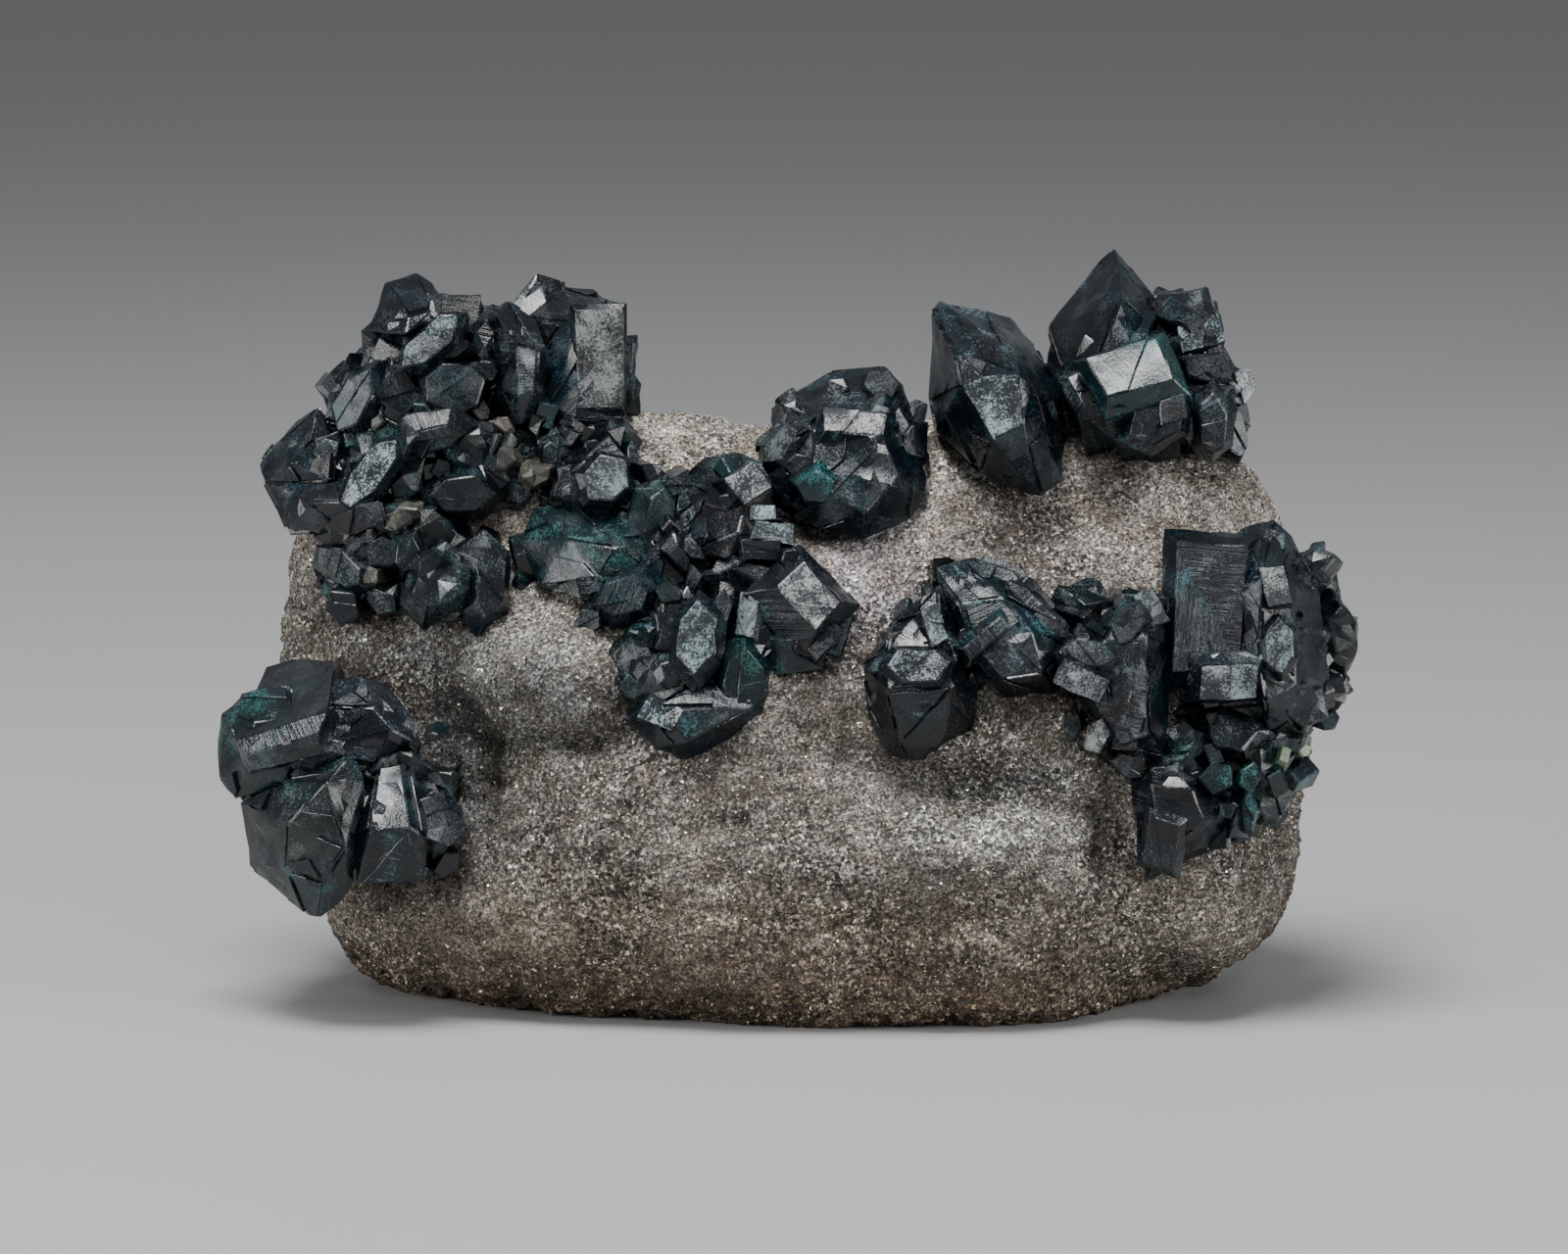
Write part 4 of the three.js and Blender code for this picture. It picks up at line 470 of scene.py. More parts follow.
def crystal_material(name, deep, light, cover, rough, stripes, cracks):
    tree = Tree("alexandrite_" + name, Specular_IOR_Level=0.5)
    lay = tree.attribute("lay")["Vector"]
    tint = tree.attribute("tint")["Color"]
    across_lay = tree.vector_math("DOT_PRODUCT", tree.place, lay)
    combine = tree.add("ShaderNodeCombineXYZ")
    tree.set(combine.inputs["X"], across_lay)
    tree.set(combine.inputs["Y"], tree.math("MULTIPLY", tree.noise(12, detail=1), 1.2))
    line_place = combine.outputs[0]
    lines = tree.noise(0.7, detail=4, roughness=0.75, place=line_place)
    specks = tree.noise(0.42, detail=2, roughness=0.8)
    patches = tree.noise(5.5, detail=5, roughness=0.6)
    amount = tree.math("ADD", specks, tree.math("MULTIPLY", tree.math("SUBTRACT", patches, 0.5), 1.1))
    amount = tree.math("ADD", amount, tree.math("MULTIPLY", tree.math("SUBTRACT", lines, 0.5), stripes))
    share = tree.ramp(amount, (0.95 - cover, 0.0), (1.13 - cover, 1.0))
    colour = tree.mix(share, deep, light)
    if name not in PLAIN_LOOKS:
        hue = tree.ramp(tree.noise(10, detail=4), (0.48, (1.0, 1.0, 1.0)), (0.68, (0.55, 1.35, 1.3)))
        colour = tree.mix(1.0, colour, hue, "MULTIPLY")
        bloom = tree.ramp(tree.noise(8, detail=5, roughness=0.65), (0.56, 0.0), (0.72, 0.45))
        colour = tree.mix(bloom, colour, (0.007, 0.03, 0.032))
    seam = tree.math("SUBTRACT", tree.noise(5, detail=1, place=line_place), 0.5)
    seam = tree.math("ABSOLUTE", seam)
    cracking = tree.ramp(seam, (0.0, 1 - cracks), (0.009, 1.0))
    colour = tree.mix(1.0, colour, cracking, "MULTIPLY")
    colour = tree.mix(1.0, colour, tint, "MULTIPLY")
    tree.surface("Base Color", colour)
    roughness = tree.ramp(share, (0.0, rough * 0.7), (1.0, min(1.0, rough * 1.6)))
    tree.surface("Roughness", roughness)
    normal = tree.bump(tree.noise(6, detail=3), 0.5, 0.5)
    normal = tree.bump(specks, 0.09, 0.6, under=normal)
    normal = tree.bump(lines, 0.08 + 0.25 * stripes, 0.3 + 0.5 * stripes, under=normal)
    tree.surface("Normal", normal)
    return tree.material


# How far a crystal's corners stray from a regular outline, as shares of its size and as angles.
CORNER_JITTER = 0.1
BROKEN_JITTER = 0.17
ANGLE_JITTER = 0.16
SQUARE_ANGLE_JITTER = 0.05
# The width of a crystal's hidden end, as a share: for large ones, and for small ones and beds.
ROOT_SHARE = 0.78
FOOT_SHARE = 1.1
SMALL_CRYSTAL = 10.5
# Larger ones get up to GROWTH_LAYERS thin layers and NEIGHBOURS blocks beside them. A bed gets one small
# crystal for each SMALL_SPACING square millimetres.
LAYERED_FROM = 8
GROWTH_LAYERS = 2
NEIGHBOURED_FROM = 11
NEIGHBOURS = 5
SMALL_SPACING = 26
OUTWARD = Vector((0, 0, 1))
SIDE_LOOKS = {"teal": "teal", "broken": "broken", "pale": "pale", "stone": "stone"}
# Crystals are split into triangles with edges of up to about LONGEST_EDGE, in SPLITS steps. Their faces are
# slightly uneven in patches of MOSAIC. They leave their group's box by no more than BOX_MARGIN, except
# backwards, in the stone. Most WEDGES faces of more than STEPPED_AREA square millimetres get a growth step.
LONGEST_EDGE = 2.9
SPLITS = 3
MOSAIC = 4.5
BOX_MARGIN = 0.4 * MM
STEPPED_AREA = 18
# The least cosine between a front face and the front direction.
FRONT_FACING = 0.93
BED_ROUGH = 1.3
BROKEN_ROUGH = 0.6
# Bevelled edges under this angle stay smooth.
SHARP_ANGLE = math.radians(13)
# Seeds that make every run the same. Groups and flake pieces add their number.
NOISE_SEED = 5
GROUP_SEED = 70
FLAKE_SEED = 20
# Looks of small crystals, by how common each is.
USUAL_LOOKS = ["dark", "dark", "dark", "teal", "broken", "broken", "striated"]
FOOT_LOOKS = ["teal", "teal", "teal", "broken", "broken", "dark", "striated"]


def scatter(across, up, n):
    """A steady scatter between -1 and 1 for corner n of the crystal at (across, up)."""
    wave = math.sin(across * 12.9898 + up * 78.233 + n * 37.719) * 4375.85453
    return 2 * (wave - math.floor(wave)) - 1


def turned_by(turn, tilt, roll):
    return (
        Matrix.Rotation(math.radians(turn), 3, "Y")
        @ Matrix.Rotation(math.radians(-tilt), 3, "X")
        @ Matrix.Rotation(math.radians(roll), 3, "Z")
    )


def seen_direction(v):
    """A direction given as across, up and out, in the specimen's own frame."""
    rise = v.y * math.sin(TILT) - v.z * math.cos(TILT)
    return Vector((v.x, rise, v.y * math.cos(TILT) + v.z * math.sin(TILT)))


def ring(row, share_across, share_up, aside_across, aside_up):
    """The corners of one ring of a crystal, in its own plane."""
    across, up = row[:2]
    width, height = row[6:8]
    sides, surface = row[14:]
    jitter = BROKEN_JITTER if surface == "broken" else CORNER_JITTER
    swing = SQUARE_ANGLE_JITTER if sides == 4 else ANGLE_JITTER
    first = math.pi / 4 if sides == 4 else 0
    stretch = math.sqrt(2) if sides == 4 else 1
    corners = []
    for corner in range(sides):
        angle = first + 2 * math.pi * corner / sides + swing * scatter(across, up, 40 + corner)
        wobble = stretch * (1 + jitter * scatter(across, up, corner))
        corners.append(Vector((
            width / 2 * (share_across * math.cos(angle) * wobble + aside_across),
            height / 2 * (share_up * math.sin(angle) * wobble + aside_up),
        )))
    return corners


def placed(row, corners, behind):
    """Corners in a crystal's own plane, at a distance behind its front face, in the specimen's frame."""
    across, up, out, turn, tilt, roll = row[:6]
    rotation = turned_by(turn, tilt, roll)
    spots = [rotation @ Vector((*corner, -behind)) for corner in corners]
    return [seen(across + spot.x, up + spot.y, out + spot.z) for spot in spots]


def tablet_points(row):
    width, height, face_width, face_height, shift_across, shift_up, shoulder, depth = row[6:14]
    points = placed(row, ring(row, face_width, face_height, shift_across, shift_up), 0)
    behind = shoulder + 1.5 * depth
    if row[15] == "bed" or max(width, height) < SMALL_CRYSTAL:
        return points + placed(row, ring(row, FOOT_SHARE, FOOT_SHARE, 0, 0), behind)
    points += placed(row, ring(row, 1, 1, 0, 0), shoulder)
    return points + placed(row, ring(row, ROOT_SHARE, ROOT_SHARE, 0, 0), behind)


def cut_by(corners, edge, way):
    """The part of an outline that lies behind a straight cut through edge, across way."""
    kept = []
    for here, after in zip(corners, corners[1:] + corners[:1]):
        inside, next_inside = (here - edge).dot(way), (after - edge).dot(way)
        if inside <= 0:
            kept.append(here)
        if inside * next_inside < 0:
            kept.append(here.lerp(after, inside / (inside - next_inside)))
    return kept


def layer_points(row, n):
    """A thin growth layer over part of the front face, as far as a straight edge across it."""
    across, up = row[:2]
    corners = ring(row, *row[8:12])
    middle = sum(corners, Vector((0, 0))) / len(corners)
    way = math.pi * scatter(across, up, 60 + n)
    aside = Vector((math.cos(way), math.sin(way)))
    edge = middle + aside * 0.3 * scatter(across, up, 70 + n) * min(row[6] * row[8], row[7] * row[9]) / 2
    kept = cut_by(corners, edge, aside)
    lift = 0.5 + 0.25 * scatter(across, up, 80 + n)
    return placed(row, kept, -lift) + placed(row, kept, 1.5)


def step_points(corners, normal, seed):
    """A thin step on a face, given by its corners in metres, as far as a straight edge across it."""
    middle = sum(corners, Vector()) / len(corners)
    aside = Vector((scatter(seed, 5.1, 21), scatter(seed, 2.7, 22), scatter(seed, 8.3, 23))).normalized()
    aside = (aside - aside.dot(normal) * normal).normalized()
    half = min((corner - middle).length for corner in corners)
    edge = middle + aside * half * 0.4 * scatter(seed, 1.9, 24)
    kept = cut_by([middle.lerp(corner, 0.88) for corner in corners], edge, aside)
    lift = 0.45 + 0.2 * scatter(seed, 7.7, 25)
    raised = [corner + normal * lift * MM for corner in kept]
    return raised + [corner - normal * 1.5 * MM for corner in kept]


def in_order(body):
    """The same body, with its corners and faces in an order that follows from their places alone."""
    corners = sorted(body.verts, key=lambda vert: [round(v, 6) for v in vert.co])
    made = bmesh.new()
    verts = {vert: made.verts.new(vert.co) for vert in corners}
    for face in sorted(body.faces, key=lambda face: [round(v, 3) for v in face.normal]):
        loop = list(face.verts)
        first = loop.index(min(loop, key=corners.index))
        made.faces.new([verts[vert] for vert in loop[first:] + loop[:first]])
    made.normal_update()
    body.free()
    return made


class Cluster:
    """Collects one group's crystals as closed bodies with flat, uneven faces and bevelled edges."""

    def __init__(self, group):
        self.name = group + "_faces"
        self.mesh = bmesh.new()
        self.tint = self.mesh.verts.layers.float_color.new("tint")
        self.lay = self.mesh.verts.layers.float_vector.new("lay")
        low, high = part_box(group)
        self.low = [max(a - BOX_MARGIN, b) for a, b in zip(low, cad_box[0])]
        self.high = [min(a + BOX_MARGIN, b) for a, b in zip(high, cad_box[1])]
        self.high[1] = cad_box[1][1]

    def holds(self, points):
        """Whether points lie in the group's box. They may lie behind it, in the schist."""
        return all(
            self.low[0] <= x <= self.high[0] and self.low[1] <= y and self.low[2] <= z <= self.high[2]
            for x, y, z in points
        )

    def add(self, points, front, front_look, side_look, seed, bevel=0.22, rough=0.15, stepped=False):
        """One body. Faces along front get front_look, the others side_look, and some dark ones stripes."""
        body = bmesh.new()
        for point in points:
            body.verts.new(point)
        hull = bmesh.ops.convex_hull(body, input=body.verts[:], use_existing_faces=False)
        spare = hull["geom_interior"] + hull["geom_unused"]
        spare = {part for part in spare if isinstance(part, bmesh.types.BMVert)}
        bmesh.ops.delete(body, geom=list(spare), context="VERTS")
        flat = math.radians(3)
        bmesh.ops.dissolve_limit(body, angle_limit=flat, verts=body.verts[:], edges=body.edges[:])
        bmesh.ops.recalc_face_normals(body, faces=body.faces[:])
        body = in_order(body)
        steps = []
        for n, face in enumerate(body.faces):
            look = front_look if face.normal.dot(front) > FRONT_FACING else side_look
            if look == "dark" and scatter(seed, n, 12) > 0.45:
                look = "striated"
            face.material_index = list(FACE_LOOKS).index(look)
            if stepped and face.calc_area() > STEPPED_AREA * MM**2 and scatter(seed, n, 13) > -0.5:
                corners = [vert.co.copy() for vert in face.verts]
                steps.append((corners, face.normal.copy(), look, seed + n))
        bmesh.ops.bevel(
            body, geom=body.edges[:], offset=bevel * MM, offset_type="OFFSET", segments=1, profile=0.5,
            affect="EDGES", clamp_overlap=True, material=-1,
        )
        for _ in range(SPLITS):
            long = [edge for edge in body.edges if edge.calc_length() > LONGEST_EDGE * MM]
            if long:
                bmesh.ops.subdivide_edges(body, edges=long, cuts=1)
            bmesh.ops.triangulate(body, faces=body.faces[:])
        body.normal_update()
        normals = [vert.normal.copy() for vert in body.verts]
        for vert, normal in zip(body.verts, normals):
            p = vert.co / MM
            _, spots = noise.voronoi(p / MOSAIC)
            lean = noise.noise_vector(spots[0] * 7.3).normalized()
            raised = 0.45 * (p - spots[0] * MOSAIC).dot(lean) + noise.noise(spots[0] * 5.7)
            wave = 0.35 * noise.noise_vector(p / 10) + 0.07 * noise.noise_vector(p / 2)
            moved = vert.co + MM * (rough * raised * normal + wave)
            vert.co = [min(max(v, low), high) for low, v, high in zip(self.low, moved, self.high)]
        shade = 1 + 0.45 * scatter(seed, 3.1, 5)
        teal = 0.5 + 0.5 * scatter(seed, 9.7, 6)
        colour = (shade * (1.03 - 0.3 * teal), shade, shade * (1 + 0.05 * teal), 1)
        along = Vector((scatter(seed, 1.3, 7), scatter(seed, 2.9, 8), scatter(seed, 4.1, 9))).normalized()
        along = (along - along.dot(front) * front).normalized()
        grown = {}
        for vert in body.verts:
            made = self.mesh.verts.new(vert.co)
            made[self.tint] = colour
            made[self.lay] = along
            grown[vert] = made
        for face in body.faces:
            corners = [grown[vert] for vert in face.verts]
            if self.mesh.faces.get(corners) is None:
                self.mesh.faces.new(corners).material_index = face.material_index
        body.free()
        for corners, normal, look, step_seed in steps:
            points = step_points(corners, normal, step_seed)
            if len(points) >= 6 and self.holds(points):
                self.add(points, normal, look, look, step_seed + 0.3, bevel=0.1)

    def tablet(self, row):
        across, up, out, turn, tilt, roll = row[:6]
        look = row[15]
        front = seen_direction(turned_by(turn, tilt, roll) @ OUTWARD)
        seed = across * 1.7 + up * 0.9
        side_look = SIDE_LOOKS.get(look, "dark")
        if look == "bed":
            self.add(tablet_points(row), front, "broken", "broken", seed, rough=BED_ROUGH)
        elif look in ("broken", "stone"):
            self.add(tablet_points(row), front, look, side_look, seed, rough=BROKEN_ROUGH)
        else:
            self.add(tablet_points(row), front, look, side_look, seed)
            for n in range(GROWTH_LAYERS):
                if max(row[6], row[7]) > LAYERED_FROM and scatter(across, up, 50 + n) > -0.2:
                    self.add(layer_points(row, n), front, look, side_look, seed + n, 0.1)

    def neighbours(self, row, rng):
        """Blocks grown beside a large crystal: nearly parallel to it, or rolled by sixty degrees."""
        width, height = row[6:8]
        if row[15] in ("bed", "stone") or max(width, height) < NEIGHBOURED_FROM:
            return
        rotation = turned_by(*row[3:6])
        for _ in range(NEIGHBOURS):
            way = rng.uniform(0, 2 * math.pi)
            share = rng.uniform(0.4, 0.8)
            behind = 14 * (share - 0.35) + rng.uniform(0, 1.5)
            spot = rotation @ Vector((0.44 * width * math.cos(way), 0.44 * height * math.sin(way), -behind))
            block = [row[0] + spot.x, row[1] + spot.y, row[2] + spot.z]
            block += [row[3] + rng.uniform(-9, 9), row[4] + rng.uniform(-9, 9)]
            block += [row[5] + float(rng.choice([0, 0, 60, -60])), width * share, height * share]
            block += [0.74, 0.7, 0, 0, 1.4, row[13] * 0.6, int(rng.choice([4, 4, 5, 6]))]
            block += [str(rng.choice(["dark", "dark", "striated", "broken"]))]
            if self.holds(tablet_points(block)):
                self.tablet(block)

    def small_crystals(self, row, rng):
        """Small crystals half sunk in a broad body, turned every way."""
        if row[15] != "bed":
            return
        across, up, out, turn, tilt, roll, width, height = row[:8]
        rotation = turned_by(turn, tilt, roll)
        looks = FOOT_LOOKS if self.name == "crystals_right_foot_faces" else USUAL_LOOKS
        for _ in range(int(width * height / SMALL_SPACING)):
            aside = Vector((rng.uniform(-0.4, 0.4) * width, rng.uniform(-0.4, 0.4) * height, 0))
            spot = rotation @ (aside + Vector((0, 0, rng.uniform(-2.0, 0.7))))
            size = rng.uniform(3.5, 8)
            look = str(rng.choice(looks))
            small = [across + spot.x, up + spot.y, out + spot.z, turn + rng.uniform(-38, 38)]
            small += [tilt + rng.uniform(-34, 34), rng.uniform(-90, 90)]
            small += [size, size * rng.uniform(0.55, 0.95)]
            small += [0.74, 0.7, 0, 0, size * 0.2, size * 0.6, int(rng.choice([4, 5, 6])), look]
            if self.holds(tablet_points(small)):
                self.tablet(small)

    def finished(self, materials):
        mesh = bpy.data.meshes.new(self.name)
        self.mesh.to_mesh(mesh)
        self.mesh.free()
        mesh.shade_smooth()
        mesh.set_sharp_from_angle(angle=SHARP_ANGLE)
        for material in materials:
            mesh.materials.append(material)
        return linked(self.name, mesh)


noise.seed_set(NOISE_SEED)
crystal_materials = [crystal_material(name, *look) for name, look in FACE_LOOKS.items()]
for number, group in enumerate(dict.fromkeys([*TABLETS, *WEDGES])):
    rng = np.random.default_rng(GROUP_SEED + number)
    cluster = Cluster(group)
    for row in map(full_row, TABLETS.get(group, [])):
        cluster.tablet(row)
        cluster.neighbours(row, rng)
        cluster.small_crystals(row, rng)
    for look, *numbers in WEDGES.get(group, []):
        points = [seen(*corner) for corner in np.reshape(numbers, (-1, 3)).tolist()]
        side_look = SIDE_LOOKS.get(look, "dark")
        front = seen_direction(OUTWARD)
        cluster.add(points, front, look, side_look, numbers[0], 0.2, 0.22, stepped=True)
    piece = cluster.finished(crystal_materials)
    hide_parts(group)
    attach(piece, "root")


# The schist block.
SCHIST = "mica_schist_matrix"
BLOCK_VOXEL = 1.9
FLAT_BELOW = 0.6
# The relief all over the block, in millimetres: sizes, then heights, and how deep it is sunk.
LUMP_SIZE, LAYER_SIZE, GRAIN_SIZE, CRUMB_SIZE = 11, 6, 1.9, 3.2
LUMPS, LAYERS, GRAINS, CRUMBLE, SUNK = 1.4, 0.6, 0.36, 0.9, 0.1
# The foot's brown, darkened further as painted shade, ends at FOOT_HEIGHT and the top's pale colour starts
# at TOP_HEIGHT. Patches and creases fade out over
# FRONT_DEPTH.
FOOT_HEIGHT = 18
TOP_HEIGHT = 60
FRONT_DEPTH = 8

# Swellings and creases of the front: across, up, half width, half height, and how far they stand out.
CREASES = [
    (-41, 54, 12, 7.5, 5.2),
    (-38, 44, 12, 2.4, -3.6),
    (-27, 50, 2.8, 6, -3.2),
    (-60, 33, 8, 14, -2.0),
    (22, 39, 8, 2.2, -3.0),
    (34, 36, 9, 2.2, -3.4),
    (47, 33, 9, 2.4, -3.2),
    (30, 43, 10, 2.4, 2.0),
    (57, 25, 2.8, 10, -3.4),
    (-52, 36, 3, 12, -2.2),
    (8, 42, 9, 3, -1.8),
    (-12, 30, 12, 2.8, -1.6),
    (12, 23, 16, 3, 1.6),
    (70, 20, 8, 3, -2.2),
    (74, 12, 9, 5, 1.8),
]

# The stone's colours, and patches on the front: across, up, half width, half height, colour and share. Some
# patches are the stone's own tones; others are painted shade in hollows and creases or painted light on lit
# ledges, bulges and tops.
STONE = (0.14, 0.131, 0.118)
# The foot's brown is also darkened as painted shade under the light from above.
BROWN_AND_SHADED_FOOT = (0.115, 0.09, 0.066)
PALE_TOP = (0.3, 0.288, 0.262)
TONE_AND_LIGHT_PATCHES = [
    (-41, 55, 13, 8, (0.085, 0.092, 0.096), 0.9),
    # Painted shade in the crease under the dome.
    (-38, 44, 12, 3, (0.045, 0.048, 0.05), 0.7),
    # Painted shade in the hollow beside the lower-left crystals.
    (-58, 38, 9, 18, (0.06, 0.067, 0.07), 0.9),
    (-60, 60, 16, 4, (0.14, 0.145, 0.145), 0.8),
    (-27, 60, 14, 4, (0.3, 0.29, 0.27), 0.6),
    # Painted shade under the ledge below the middle crystals.
    (36, 37, 16, 5, (0.075, 0.08, 0.082), 0.7),
    # Painted highlight on the ledge where it catches the light.
    (30, 29, 22, 5, (0.25, 0.255, 0.25), 0.7),
    # Painted shade in a crease.
    (8, 40, 9, 5, (0.085, 0.082, 0.078), 0.5),
    (46, 80, 17, 10, (0.115, 0.104, 0.1), 0.88),
    (72, 87, 13, 11, (0.62, 0.59, 0.55), 0.95),
    # Pale stone at the saddle, lightened further as painted light on its top.
    (-12, 99, 18, 5, (0.38, 0.37, 0.35), 0.9),
    (14, 73, 10, 12, (0.27, 0.25, 0.265), 0.8),
    # Paler stone on the lump at the lower right, partly painted light where it is lit.
    (70, 13, 16, 9, (0.26, 0.245, 0.215), 0.9),
    (-4, 48, 8, 6, (0.22, 0.215, 0.2), 0.5),
    # The low belly's brown, lightened as painted light on the lit bulge.
    (-20, 12, 60, 7, (0.21, 0.18, 0.142), 0.75),
]


def front_places(points):
    """Where points, in metres, are seen from the front: across, up and out, in millimetres."""
    x, y, z = (points / MM + np.array([CENTRE_X, CENTRE_Y, 0])).T
    out = z * math.sin(TILT) - y * math.cos(TILT)
    rise = z * math.cos(TILT) + y * math.sin(TILT)
    nearer = 1 - out / EYE_DISTANCE
    return x / nearer, EYE_HEIGHT + (rise - EYE_HEIGHT) / nearer, out


def bell(across, up, patch):
    return np.exp(-(((across - patch[0]) / patch[2]) ** 2) - ((up - patch[1]) / patch[3]) ** 2)


def triples(items, name, kind=float):
    """One property of all the items of a mesh, in rows of three."""
    values = np.empty(len(items) * 3, dtype=kind)
    items.foreach_get(name, values)
    return values.reshape(-1, 3)


def paint(mesh, name, colours):
    """Gives each point of a mesh its colour, in a colour attribute."""
    colours = np.concatenate([colours, np.ones((len(colours), 1))], axis=1)
    attribute = mesh.color_attributes.new(name, "FLOAT_COLOR", "POINT")
    attribute.data.foreach_set("color", colours.ravel())


def stone_colours(points):
    """The stone's colour at each point: brown and darkened as painted shade at the foot, pale at the top,
    patched in front with tones, painted shade and painted light.
    """
    across, up, out = front_places(points)
    # Brown and painted shade towards the foot.
    foot = np.clip((FOOT_HEIGHT - up) / FOOT_HEIGHT, 0, 1)[:, None]
    top = np.clip((up - TOP_HEIGHT) / 40, 0, 1)[:, None]
    colour = np.array(STONE) * (1 - foot) + np.array(BROWN_AND_SHADED_FOOT) * foot
    colour = colour * (1 - top) + np.array(PALE_TOP) * top
    ahead = np.clip(out / FRONT_DEPTH, 0, 1)
    for patch in TONE_AND_LIGHT_PATCHES:
        share = (bell(across, up, patch) * patch[5] * ahead)[:, None]
        colour = colour * (1 - share) + np.array(patch[4]) * share
    return colour


def rough_block():
    """The block with its facets smoothed away, and lumps, layers and grains raised on it."""
    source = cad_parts[SCHIST]
    base = linked("block_base", source.data.copy())
    base.matrix_world = source.matrix_world.copy()
    remesh = base.modifiers.new("even", "REMESH")
    remesh.mode = "VOXEL"
    remesh.voxel_size = BLOCK_VOXEL * MM
    smooth = base.modifiers.new("smooth", "SMOOTH")
    smooth.factor = 0.6
    smooth.iterations = 20
    finer = base.modifiers.new("finer", "SUBSURF")
    finer.levels = 1
    finer.render_levels = 1
    bpy.context.view_layer.update()
    mesh = bpy.data.meshes.new_from_object(base.evaluated_get(bpy.context.evaluated_depsgraph_get()))
    mesh.transform(base.matrix_world)
    bpy.data.objects.remove(base)
    places = triples(mesh.vertices, "co")
    normals = triples(mesh.vertex_normals, "vector")
    across, up, out = front_places(places)
    ahead = np.clip(out / FRONT_DEPTH, 0, 1)
    raised = sum(bell(across, up, crease) * crease[4] * ahead for crease in CREASES)
    for n, place in enumerate(places / MM):
        p = Vector(place)
        layered = Vector((p.x, p.y, p.z * 1.7))
        lump = noise.fractal(p / LUMP_SIZE, 1.0, 2.0, 4)
        layer = noise.ridged_multi_fractal(layered / LAYER_SIZE, 1.0, 2.0, 3, 1.0, 2.0) - 1
        grain = noise.noise(p / GRAIN_SIZE) + 0.7 * noise.noise(p / 1.1)
        crumble = max(0.2, 1 - p.z / 14) * (1 - abs(noise.noise(p / CRUMB_SIZE)) * 3.4)
        raised[n] += LUMPS * lump + LAYERS * layer + GRAINS * grain + CRUMBLE * crumble - SUNK
    moved = np.clip(places + normals * raised[:, None] * MM, cad_box[0], cad_box[1])
    flat = (places[:, 2] < FLAT_BELOW * MM) | (moved[:, 2] < 0)
    moved[flat, 2] = 0
    mesh.vertices.foreach_set("co", moved.ravel())
    mesh.update()
    paint(mesh, "stone", stone_colours(moved))
    mesh.name = "mica_schist_block"
    piece = linked("mica_schist_block", mesh)
    mesh.materials.clear()
    mesh.materials.append(schist_material())
    mesh.shade_smooth()
    return piece


block = rough_block()
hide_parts(SCHIST)
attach(block, "root")

FLAKES = 38000
FLAKE_PIECES = 2
# How unevenly flakes lie, their lift over the stone in millimetres, and their point's depth in sizes.
FLAKE_LEAN = 0.32
FLAKE_LIFT = 0.05
POINT_DEPTH = 0.9
# Brightness of the flakes against the stone under them, how warm each kind is, and how common.
FLAKE_KINDS = [(0.12, 0.92, 0.28), (0.5, 0.95, 0.27), (1.0, 0.93, 0.29), (5.4, 0.9, 0.1), (10.5, 0.9, 0.06)]


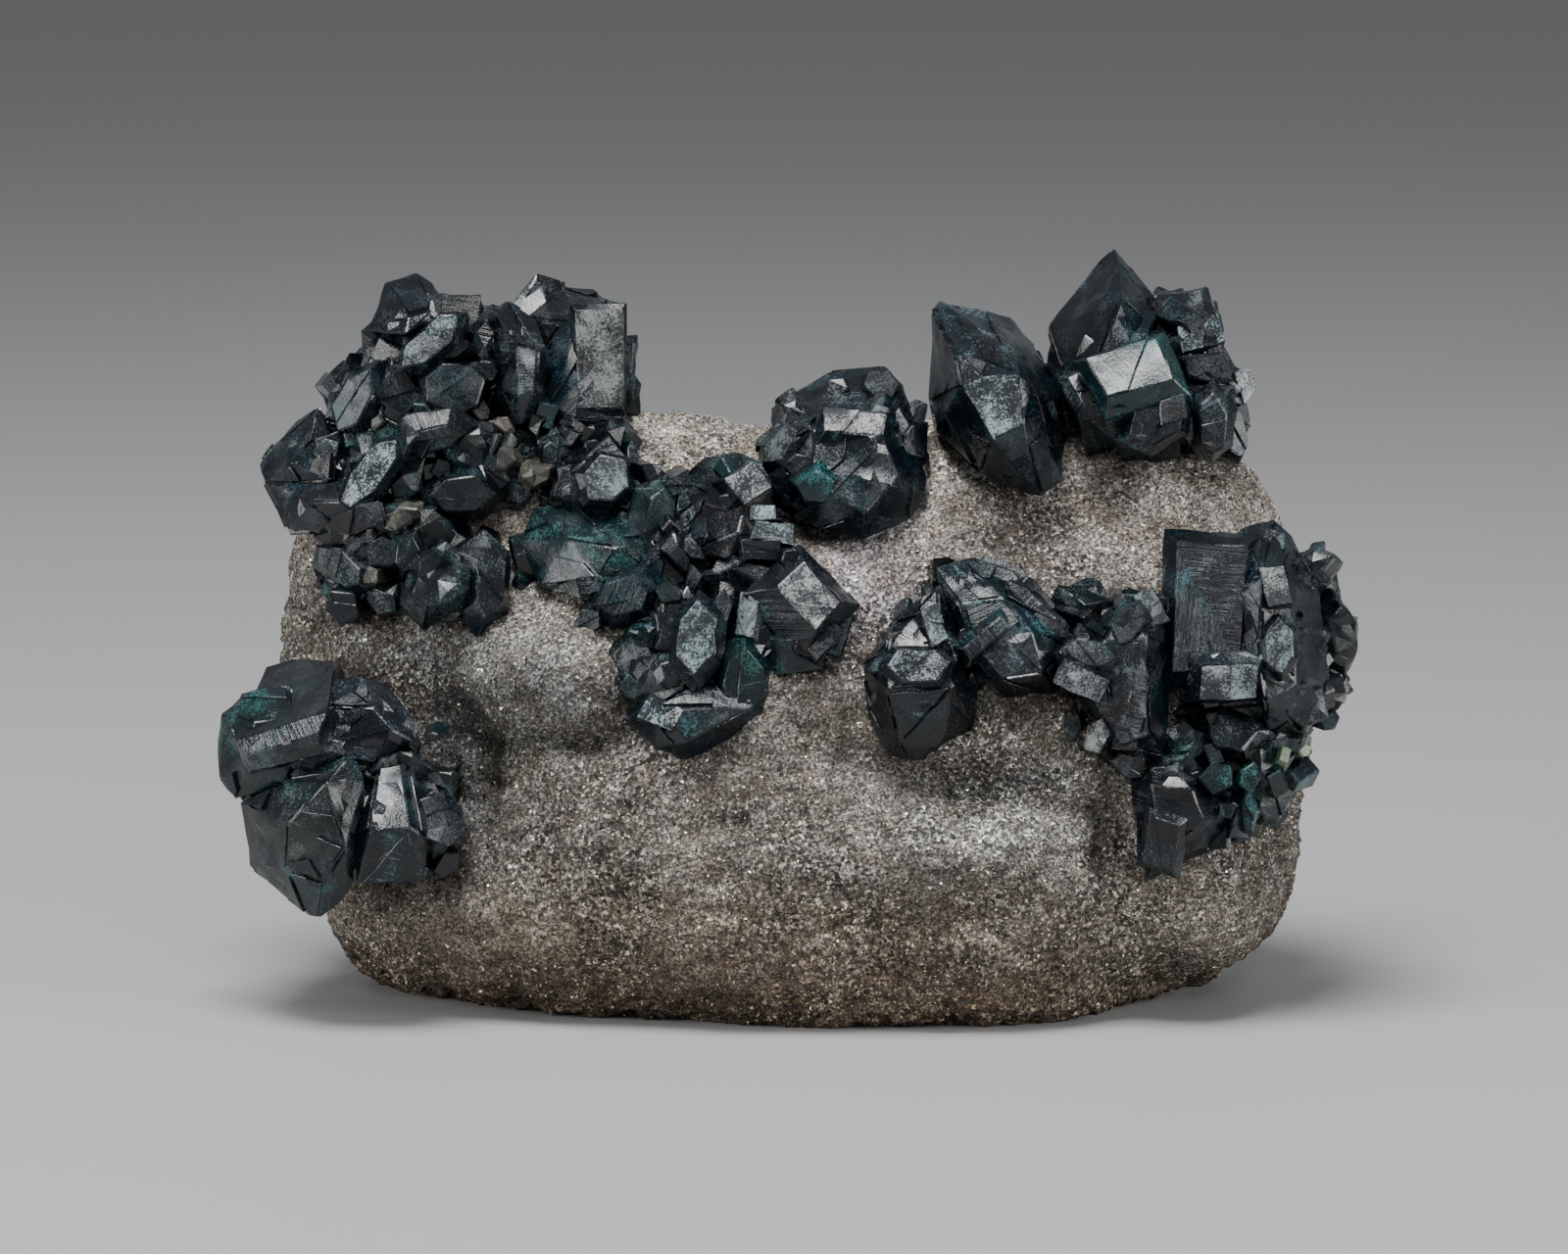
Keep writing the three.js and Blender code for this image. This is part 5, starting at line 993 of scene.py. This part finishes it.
def flakes(name, seed):
    """Small mica plates all over the block: three-cornered faces, each on a shallow point."""
    rng = np.random.default_rng(seed)
    mesh = block.data
    mesh.calc_loop_triangles()
    verts = triples(mesh.vertices, "co")
    tris = triples(mesh.loop_triangles, "vertices", np.int32)
    a, b, c = (verts[tris[:, i]] for i in range(3))
    cross = np.cross(b - a, c - a)
    area = np.linalg.norm(cross, axis=1)
    crowded = [0.3 + max(0.0, noise.noise(Vector(spot) / (15 * MM)) + 0.35) for spot in a]
    weight = np.where(a[:, 2] > 0.4 * MM, area * crowded, 0)
    picked = rng.choice(len(tris), FLAKES, p=weight / weight.sum())
    u, v = rng.random((2, FLAKES, 1))
    flip = (u + v) > 1
    u, v = np.where(flip, 1 - u, u), np.where(flip, 1 - v, v)
    centre = a[picked] + u * (b - a)[picked] + v * (c - a)[picked]
    normal = cross[picked] / area[picked][:, None]
    lean = normal + rng.normal(0, FLAKE_LEAN, (FLAKES, 3))
    lean /= np.linalg.norm(lean, axis=1)[:, None]
    side = np.cross(lean, rng.normal(0, 1, (FLAKES, 3)))
    side /= np.linalg.norm(side, axis=1)[:, None]
    other = np.cross(lean, side)
    size = rng.gamma(5, 0.045, (FLAKES, 1)) * MM
    lifted = centre + normal * FLAKE_LIFT * MM
    corners = []
    for angle in np.radians([0, 120, 240]):
        reach = size * rng.uniform(0.7, 1.35, (FLAKES, 1))
        corners.append(lifted + reach * (math.cos(angle) * side + math.sin(angle) * other))
    point = centre - lean * size * POINT_DEPTH
    places = np.stack([*corners, point], axis=1).reshape(-1, 3)
    places = np.clip(places, [*cad_box[0][:2], 0.02 * MM], cad_box[1])
    faces = []
    for s in range(0, 4 * FLAKES, 4):
        faces.append((s, s + 1, s + 2))
        faces += [(s + (k + 1) % 3, s + k, s + 3) for k in range(3)]
    made = bpy.data.meshes.new(name)
    made.from_pydata(places.tolist(), [], faces)
    kinds = np.array(FLAKE_KINDS)
    chosen = kinds[rng.choice(len(kinds), FLAKES, p=kinds[:, 2])]
    colour = stone_colours(centre) * chosen[:, :1] * rng.uniform(0.75, 1.3, (FLAKES, 1))
    warmth = np.stack([np.ones(FLAKES), chosen[:, 1], chosen[:, 1] ** 3], axis=1)
    colour = np.clip(colour * warmth, 0, 0.85)
    paint(made, "tint", np.repeat(colour, 4, axis=0))
    return linked(name, made)


mica = mica_material()
for n in range(FLAKE_PIECES):
    piece = flakes(f"mica_flakes_{n + 1}", FLAKE_SEED + n)
    piece.data.materials.append(mica)
    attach(piece, "root")


# Floor, light and camera.
LIGHT_AIM = Vector((0, 0, 0.06))


def area_light(name, place, size, power):
    data = bpy.data.lights.new(name, "AREA")
    data.shape = "RECTANGLE"
    data.size, data.size_y = size
    data.energy = power
    light = linked(name, data)
    light.location = place
    light.rotation_euler = (LIGHT_AIM - Vector(place)).to_track_quat("-Z", "Y").to_euler()


floor_mesh = bpy.data.meshes.new("floor")
REACH = 12
floor_corners = [(-REACH, -REACH, 0), (REACH, -REACH, 0), (REACH, REACH, 0), (-REACH, REACH, 0)]
floor_mesh.from_pydata(floor_corners, [], [(0, 1, 2, 3)])
floor = linked("floor", floor_mesh)
paper = Tree("pale_floor", Roughness=0.55, Specular_IOR_Level=0.3)
paper.surface("Base Color", (0.36, 0.36, 0.36, 1))
floor_mesh.materials.append(paper.material)

area_light("key", (-0.15, -0.3, 1.25), (0.6, 0.45), 26)
area_light("right", (0.95, -0.45, 0.3), (0.25, 0.6), 7)
area_light("left", (-0.95, -0.4, 0.3), (0.25, 0.6), 6)
area_light("front", (0.25, -1.25, 0.75), (0.3, 0.2), 2.5)
world = bpy.data.worlds.new("studio")
world.use_nodes = True
background = world.node_tree.nodes["Background"].inputs
background["Color"].default_value = (0.8, 0.82, 0.85, 1)
background["Strength"].default_value = 0.3
bpy.context.scene.world = world

camera_data = bpy.data.cameras.new("camera")
camera_data.sensor_width = SENSOR_WIDTH
camera_data.lens = SENSOR_WIDTH * EYE_DISTANCE / PICTURE_WIDTH
camera_data.clip_end = 100
camera = linked("camera", camera_data)
aim = seen(0, EYE_HEIGHT, 0)
camera.location = aim + MM * EYE_DISTANCE * Vector((0, -math.cos(TILT), math.sin(TILT)))
camera.rotation_euler = (aim - camera.location).to_track_quat("-Z", "Y").to_euler()
bpy.context.scene.camera = camera
